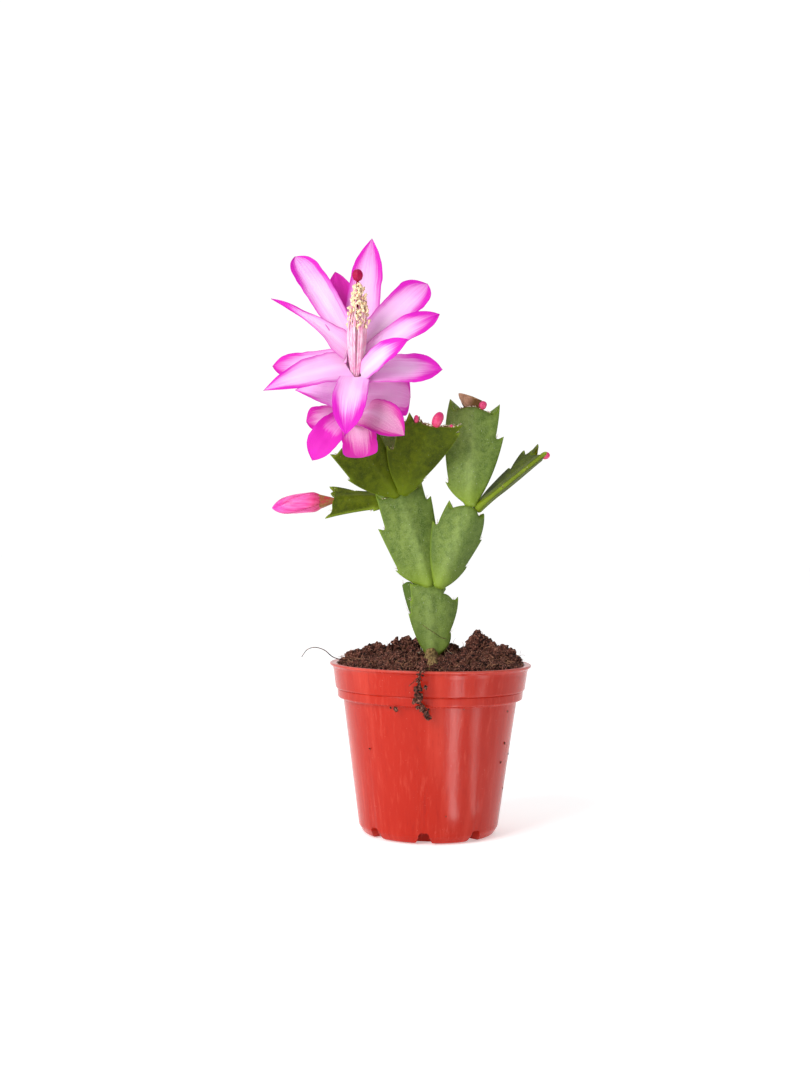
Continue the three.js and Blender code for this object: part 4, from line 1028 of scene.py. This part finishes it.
tepal_finish = Finish("tepals", {
    "Specular IOR Level": 0.25, "Subsurface Weight": 0.1, "Subsurface Radius": (0.0012, 0.0006, 0.001),
    "Subsurface Scale": 1.0,
})
across, share, dusky = [tepal_finish.mark(m) for m in ("across", "share", "dusk")]
aside = tepal_finish.node("Math", {"operation": "ABSOLUTE"}, (across,))
which = tepal_finish.mark("number")
vein_place = tepal_finish.node("CombineXYZ", {}, (across * 9, share * 1.1, which * 3.7))
veins = tepal_finish.grain(vein_place, 1, 4, 0.65)
fine_place = tepal_finish.node("CombineXYZ", {}, (across * 24, share * 1.6, which * 5.1))
fine_veins = tepal_finish.grain(fine_place, 1, 2, 0.6)
sparkle = tepal_finish.grain(tepal_finish.place(), 0.3, 2, 0.7)
blush = tepal_finish.grain(tepal_finish.place(), 5, 2)
glow = tepal_finish.step(aside + veins * 0.3, 0.55, 0.1) * tepal_finish.step(share, 0.9, 0.3)
petal_color = tepal_finish.coats(
    tepal_finish.blend(dusky, paint(241, 188, 238), paint(220, 138, 180)),
    (glow * 0.55, paint(250, 222, 247)),
    (tepal_finish.step(sparkle, 0.45, 0.62) * dusky * 0.55, paint(244, 196, 216)),
)
deep_color = tepal_finish.blend(dusky, paint(208, 20, 182), paint(198, 26, 142))
deepness = (
    tepal_finish.step(aside + (veins - 0.5) * 0.35, 0.3, 1.03) * (0.3 + share * 0.65)
    + tepal_finish.step(share + (veins - 0.5) * 0.16, 0.45, 1.08) * tepal_finish.mark("flush")
    + tepal_finish.step(tepal_finish.mark("flush"), 2, 4) * 0.55
    + (veins - 0.45) * 0.4 + (fine_veins - 0.5) * 0.3 + (blush - 0.5) * 0.2
    + tepal_finish.mark("under") * 0.35
)
outline = tepal_finish.step(aside, 0.88, 0.99) * (0.45 + share * 0.45)
tepal_finish.wear(
    base_color=tepal_finish.coats(
        petal_color, (tepal_finish.step(deepness, 0.04, 0.95), deep_color), (outline, paint(196, 14, 172)),
    ),
    roughness=0.5 + sparkle * 0.2,
    relief=(veins * 0.6 + fine_veins * 0.5 + sparkle * 0.15, 0.14),
)

petal_parts, petal_marks = [], []
for number, (tip, width, place, turn, *shape, dusk, flush, curl, sway) in enumerate(tepals):
    tip = np.array(tip, float)
    root = tepal_root(place, turn, tip)
    skin, marks = leaf_skin(root, tip, flower_face, width, *shape, number * 3.3, curl=curl, sway=sway)
    petal_parts.append(skin)
    for name, value in (("dusk", dusk), ("flush", flush), ("number", number)):
        marks[name] = np.full(len(skin[0]), value)
    petal_marks.append(marks)
skin = tube_skin()
petal_parts.append(skin)
tube_marks = {"across": 0, "share": 0.2, "under": 0, "dusk": 0.4, "flush": 0, "number": 20}
petal_marks.append({name: np.full(len(skin[0]), value) for name, value in tube_marks.items()})
petal_marks = {name: np.concatenate([m[name] for m in petal_marks]) for name in tube_marks}
petals = (*joined(petal_parts), petal_marks)
add_piece("flower_tepals", petals, tepal_finish, "flower_tepals")

# The ovary is a short ribbed green knob with a reddish flush.


def ovary_finish(name, green, red):
    finish = Finish(name, {"Specular IOR Level": 0.3})
    tone = finish.grain(finish.place(), 1.2, 3)
    color = finish.two_tone(tone, 0.4, 0.65, green, red)
    return finish.wear(base_color=color, roughness=0.4 + tone * 0.2, relief=(tone, 0.1))


def round_axis(axis, sides):
    """Angles round an axis, and the direction straight out from it at each."""
    side = unit(np.cross(axis, (0.2, 0.9, 0.3)))
    other = np.cross(axis, side)
    angles = np.linspace(0, 2 * np.pi, sides, endpoint=False)
    return angles, np.outer(np.cos(angles), side) + np.outer(np.sin(angles), other)


def knob(foot, axis, profile, ribs):
    """A ribbed body turned round an axis from (radius, height) points."""
    angles, outward = round_axis(axis, 40)
    ribbed = outward * (1 + 0.05 * np.cos(ribs * angles))[:, None]
    profile = smooth_path([(*corner, 0) for corner in profile], 24)
    return ring_skin([foot + axis * z + ribbed * r for r, z, _ in profile])


ovary_skin = knob(flower_foot, tube_axis, [(1, -0.3), (1.9, 0.6), (2.25, 1.9), (1.95, 3.3), (1.7, 3.6)], 8)
green_ovary = ovary_finish("ovary", paint(116, 112, 44), paint(158, 78, 62))
add_piece("flower_ovary", ovary_skin, green_ovary, "flower_ovary")

# The style is one crimson thread that runs up through the stamens to a lobed crimson stigma.

style_path = np.array([
    tube_foot + 0.3 * tube_axis, tube_foot + 0.4 * tube_length * tube_axis, (-23.2, -14.2, 134.5),
    (-22.9, -17.6, 147.5), (-22.9, -20.5, 163.7),
])
style_finish = Finish("style", {"Specular IOR Level": 0.2})
style_tone = style_finish.grain(style_finish.place(), 0.5, 3)
style_finish.wear(
    base_color=style_finish.blend(style_tone, paint(140, 0, 52), paint(178, 0, 72)),
    roughness=0.35 + style_tone * 0.25,
    relief=(style_tone, 0.12),
)
stigma_points, stigma_faces = ball(5)
lobes = np.arctan2(stigma_points[:, 1], stigma_points[:, 0])
crown = np.clip(stigma_points[:, 2], -1, 1)
dent = 1 - 0.11 * np.abs(np.cos(3 * lobes)) ** 0.6 * (1 - crown**2) ** 0.5
grit = np.array([1 + 0.03 * noise.noise(Vector(p) * 9) for p in stigma_points])
stigma_points = stigma_points * (dent * grit)[:, None] * 1.75 + style_path[-1]
style_shape = joined([(stigma_points, stigma_faces), strand(smooth_path(style_path, 90), 0.4, 12)])
add_piece("flower_style", style_shape, style_finish, "flower_style")

# The stamens are fine pink threads in a bundle round the style, each with a cream anther in two
# halves.

thread_finish = Finish("stamen_thread", {
    "Specular IOR Level": 0.2, "Subsurface Weight": 0.3, "Subsurface Radius": (0.0015, 0.0008, 0.001),
    "Subsurface Scale": 1.0,
})
thread_tone = thread_finish.grain(thread_finish.place((1, 1, 0.2)), 0.6, 3)
thread_finish.wear(
    base_color=thread_finish.two_tone(thread_tone, 0.35, 0.65, paint(250, 160, 196), paint(255, 206, 224)),
    roughness=0.45 + thread_tone * 0.2,
)
anther_finish = Finish("anther", {"Specular IOR Level": 0.2})
pollen = anther_finish.grain(anther_finish.place(), 0.25, 3, 0.7)
anther_tint = anther_finish.grain(anther_finish.place(), 2.2, 2)
anther_finish.wear(
    base_color=anther_finish.coats(
        anther_finish.two_tone(pollen, 0.4, 0.6, paint(240, 206, 150), paint(255, 240, 214)),
        (anther_finish.step(anther_tint, 0.52, 0.66) * 0.5, paint(236, 168, 112)),
    ),
    roughness=0.8 + pollen * 0.15,
    relief=(pollen, 0.2),
)
chance = random.Random(7)
column_foot, column_top = style_path[2] - (0, 0, 0.6), style_path[3] + (0, -0.3, 1.4)
column_rise = unit(column_top - column_foot)
column_right = unit(np.cross((0, 1, 0), column_rise))
column_back = np.cross(column_rise, column_right)
threads, anthers = [], []
thread_count, golden_angle = 110, 2.399963
thread_width = np.interp(np.linspace(0, 1, 34), (0, 0.6, 0.7, 1), (0.27, 0.26, 0.12, 0.08))
for number in range(thread_count):
    angle = golden_angle * number
    inner = 0.55 if number % 3 == 0 else 1
    if math.sin(angle) < -0.985 and inner == 1:
        angle += 0.2 if math.cos(angle) > 0 else -0.2
    outward = math.cos(angle) * column_right + math.sin(angle) * column_back
    depth = inner * chance.uniform(0.93, 1.05)
    path = []
    for part, spread in zip(np.linspace(0, 1, 5), (0.75, 1.5, 2.1, 2.5, 2.6)):
        path.append(column_foot + part * (column_top - column_foot) + outward * spread * depth)
    height = 0.2 + 12.2 * ((number + 0.5) / thread_count) ** 1.35
    wide = np.interp(height, (0, 2, 4, 6, 8, 10, 12.4), (2.3, 2.9, 3, 2.8, 2.2, 1.6, 0.9))
    head = column_top + outward * wide * chance.uniform(0.5, 1) + column_rise * height
    head = head + 0.4 * column_right * math.sin(math.pi * min(1, height / 9))
    path.append(0.45 * path[-1] + 0.55 * head + outward * 0.2)
    path.append(head)
    threads.append(strand(smooth_path(path, 34), thread_width, 7))
    for _ in range(2):
        points, faces = crumb((0, 0, 0), 0.48, small_ball, chance, (0.8, 0.8, 1.4))
        lean = Vector([chance.uniform(-0.9, 0.9), chance.uniform(-0.9, 0.9), 1])
        turn = np.array(lean.to_track_quat("Z", "Y").to_matrix())
        shift = np.array([chance.gauss(0, 0.4) for _ in range(3)])
        anthers.append((points @ turn.T + head + shift, faces))
add_piece("stamen_threads", joined(threads), thread_finish, "flower_stamens")
add_piece("anthers", joined(anthers), anther_finish, "flower_stamens")

# ---- The buds and the husk ------------------------------------------------------------------
# A large closed bud lies on the end of the sideways shoot, and five small ones sit on the blunt
# ends of other segments. Their tepals lap over each other in a spiral. A dry brown scale, deeply
# folded, is left on the end of the tallest segment.

bud_finish = Finish("bud", {"Specular IOR Level": 0.45, "Coat Weight": 0.15, "Coat Roughness": 0.25})
bud_share = bud_finish.mark("share")
bud_veins = bud_finish.grain(bud_finish.place((0.12, 1, 1)), 1.1, 3)
bud_lap = bud_finish.mark("lap")
bud_finish.wear(
    base_color=bud_finish.coats(
        bud_finish.two_tone(bud_veins, 0.35, 0.65, paint(208, 34, 136), paint(238, 100, 178)),
        (bud_finish.step(bud_lap, 0.75, 1) * 0.7, paint(188, 6, 96)),
        (bud_finish.step(bud_share, 0.35, 0) * 0.7, paint(200, 56, 78)),
        (bud_finish.step(bud_share, 0.6, 1) * 0.7, paint(228, 24, 168)),
        (bud_finish.mark("small") * 0.7, paint(206, 44, 78)),
    ),
    roughness=0.34 + bud_veins * 0.2,
    relief=(bud_veins, 0.08),
)


def bud_skin(foot, heading, length, radius, petals, wind, plump, droop, steps, sides):
    """A closed bud with its tepals wound round it, and its measures. A plump one has no neck."""
    axis = unit(heading)
    rows, marks = [], {"share": [], "lap": [], "small": []}
    angles, outward = round_axis(axis, sides)
    for share in np.linspace(0, 1, steps):
        belly = 0.69 + 0.31 * math.sin(math.pi / 2 * min(1, share / 0.17))
        belly *= max(0, 1 - max(0, (share - 0.45) / 0.55) ** 2.5) ** 0.8
        belly += plump * (math.sqrt(max(0, 1 - ((share - 0.52) / 0.5) ** 2)) - belly)
        laps = (angles / (2 * np.pi) * petals + wind * share) % 1
        reach = max(radius * belly, 0.06) * (1 - 0.16 * laps**1.5)
        sunk = np.array((0, 0, droop * share**3))
        rows.append(foot + axis * length * share - sunk + outward * reach[:, None])
        marks["share"].append(np.full(sides, share))
        marks["lap"].append(1 - laps)
        marks["small"].append(np.full(sides, 1 if plump else 0))
    return *ring_skin(rows), {name: np.concatenate(values) for name, values in marks.items()}


big_bud_foot, big_bud_tip = np.array((-30, 6.5, 99.6)), np.array((-49.1, 7, 97.8))
big_bud_axis = unit(big_bud_tip - big_bud_foot)
base_profile = [(0.7, -0.4), (0.95, 0.5), (1.5, 2.2), (2.1, 4.2), (2.1, 4.9)]
base_skin = knob(big_bud_foot, big_bud_axis, base_profile, 6)
base_finish = ovary_finish("bud_base", paint(142, 100, 54), paint(172, 58, 58))
add_piece("bud_large_base", base_skin, base_finish, "bud_large_base")
base_length = 4.2
bud_foot = big_bud_foot + base_length * big_bud_axis
bud_length = float(np.linalg.norm(big_bud_tip - big_bud_foot)) - base_length
big_bud = bud_skin(bud_foot, big_bud_axis, bud_length, 3.2, 4, 0.9, 0, 0.8, 46, 90)
add_piece("bud_large", big_bud, bud_finish, "bud_large")

# name, segment, place out and along on it, heading, length and radius
small_buds = [
    ("bud_1", "segment_d", (-3.9, 22.7), (-0.05, -0.2, 1), 2.4, 0.8),
    ("bud_2", "segment_d", (1.5, 23.2), (0.42, -0.2, 1), 5, 1.65),
    ("bud_3", "segment_d", (6.3, 24), (0.2, -0.3, 0.9), 1.7, 0.65),
    ("bud_4", "segment_h", (2, 29.6), (0.35, -0.1, 0.9), 2.7, 1.25),
    ("bud_5", "segment_i", (0.3, 26.2), (0.8, 0.2, 0.2), 2.7, 1.2),
]
for name, on, place, heading, length, radius in small_buds:
    small_bud = bud_skin(blades[on].spot(*place, 0), heading, length, radius, 3, 0.5, 0.85, 0, 26, 48)
    add_piece(name, small_bud, bud_finish, name)

husk_finish = Finish("dry_husk", {"Specular IOR Level": 0.35})
husk_tone = husk_finish.grain(husk_finish.place((1, 1, 0.5)), 0.9, 4, 0.65)
# Painted light and shade: across the folded scale, one half is painted pale as the lit flap and the other
# dark olive brown as the shaded inside of the fold.
husk_lit_and_shaded_halves = husk_finish.step(husk_finish.mark("across"), -0.3, 0.3)
husk_rim = husk_finish.step(husk_finish.mark("share"), 0.86, 0.97)
husk_finish.wear(
    base_color=husk_finish.coats(
        husk_finish.blend(husk_lit_and_shaded_halves, paint(204, 156, 128), paint(104, 72, 22)),
        (husk_finish.step(husk_tone, 0.4, 0.65) * 0.4, paint(112, 68, 36)),
        (husk_rim * 0.7, paint(190, 152, 106)),
    ),
    roughness=0.55 + husk_tone * 0.25,
    relief=(husk_tone, 0.25),
)
husk_blade = blades["segment_h"]
husk_root = husk_blade.spot(-2, 29.4, 0)
husk_tip = husk_blade.spot(-0.9, 33.9, 0) - husk_blade.facing * 1.4
skin, marks = leaf_skin(husk_root, husk_tip, np.array((0.2, -1, 0.3)), 8.8, -0.6, 2.6, 0.6, 5, 0.6, 40, 0.16)
add_piece("dried_husk", (*skin, marks), husk_finish, "dried_husk")
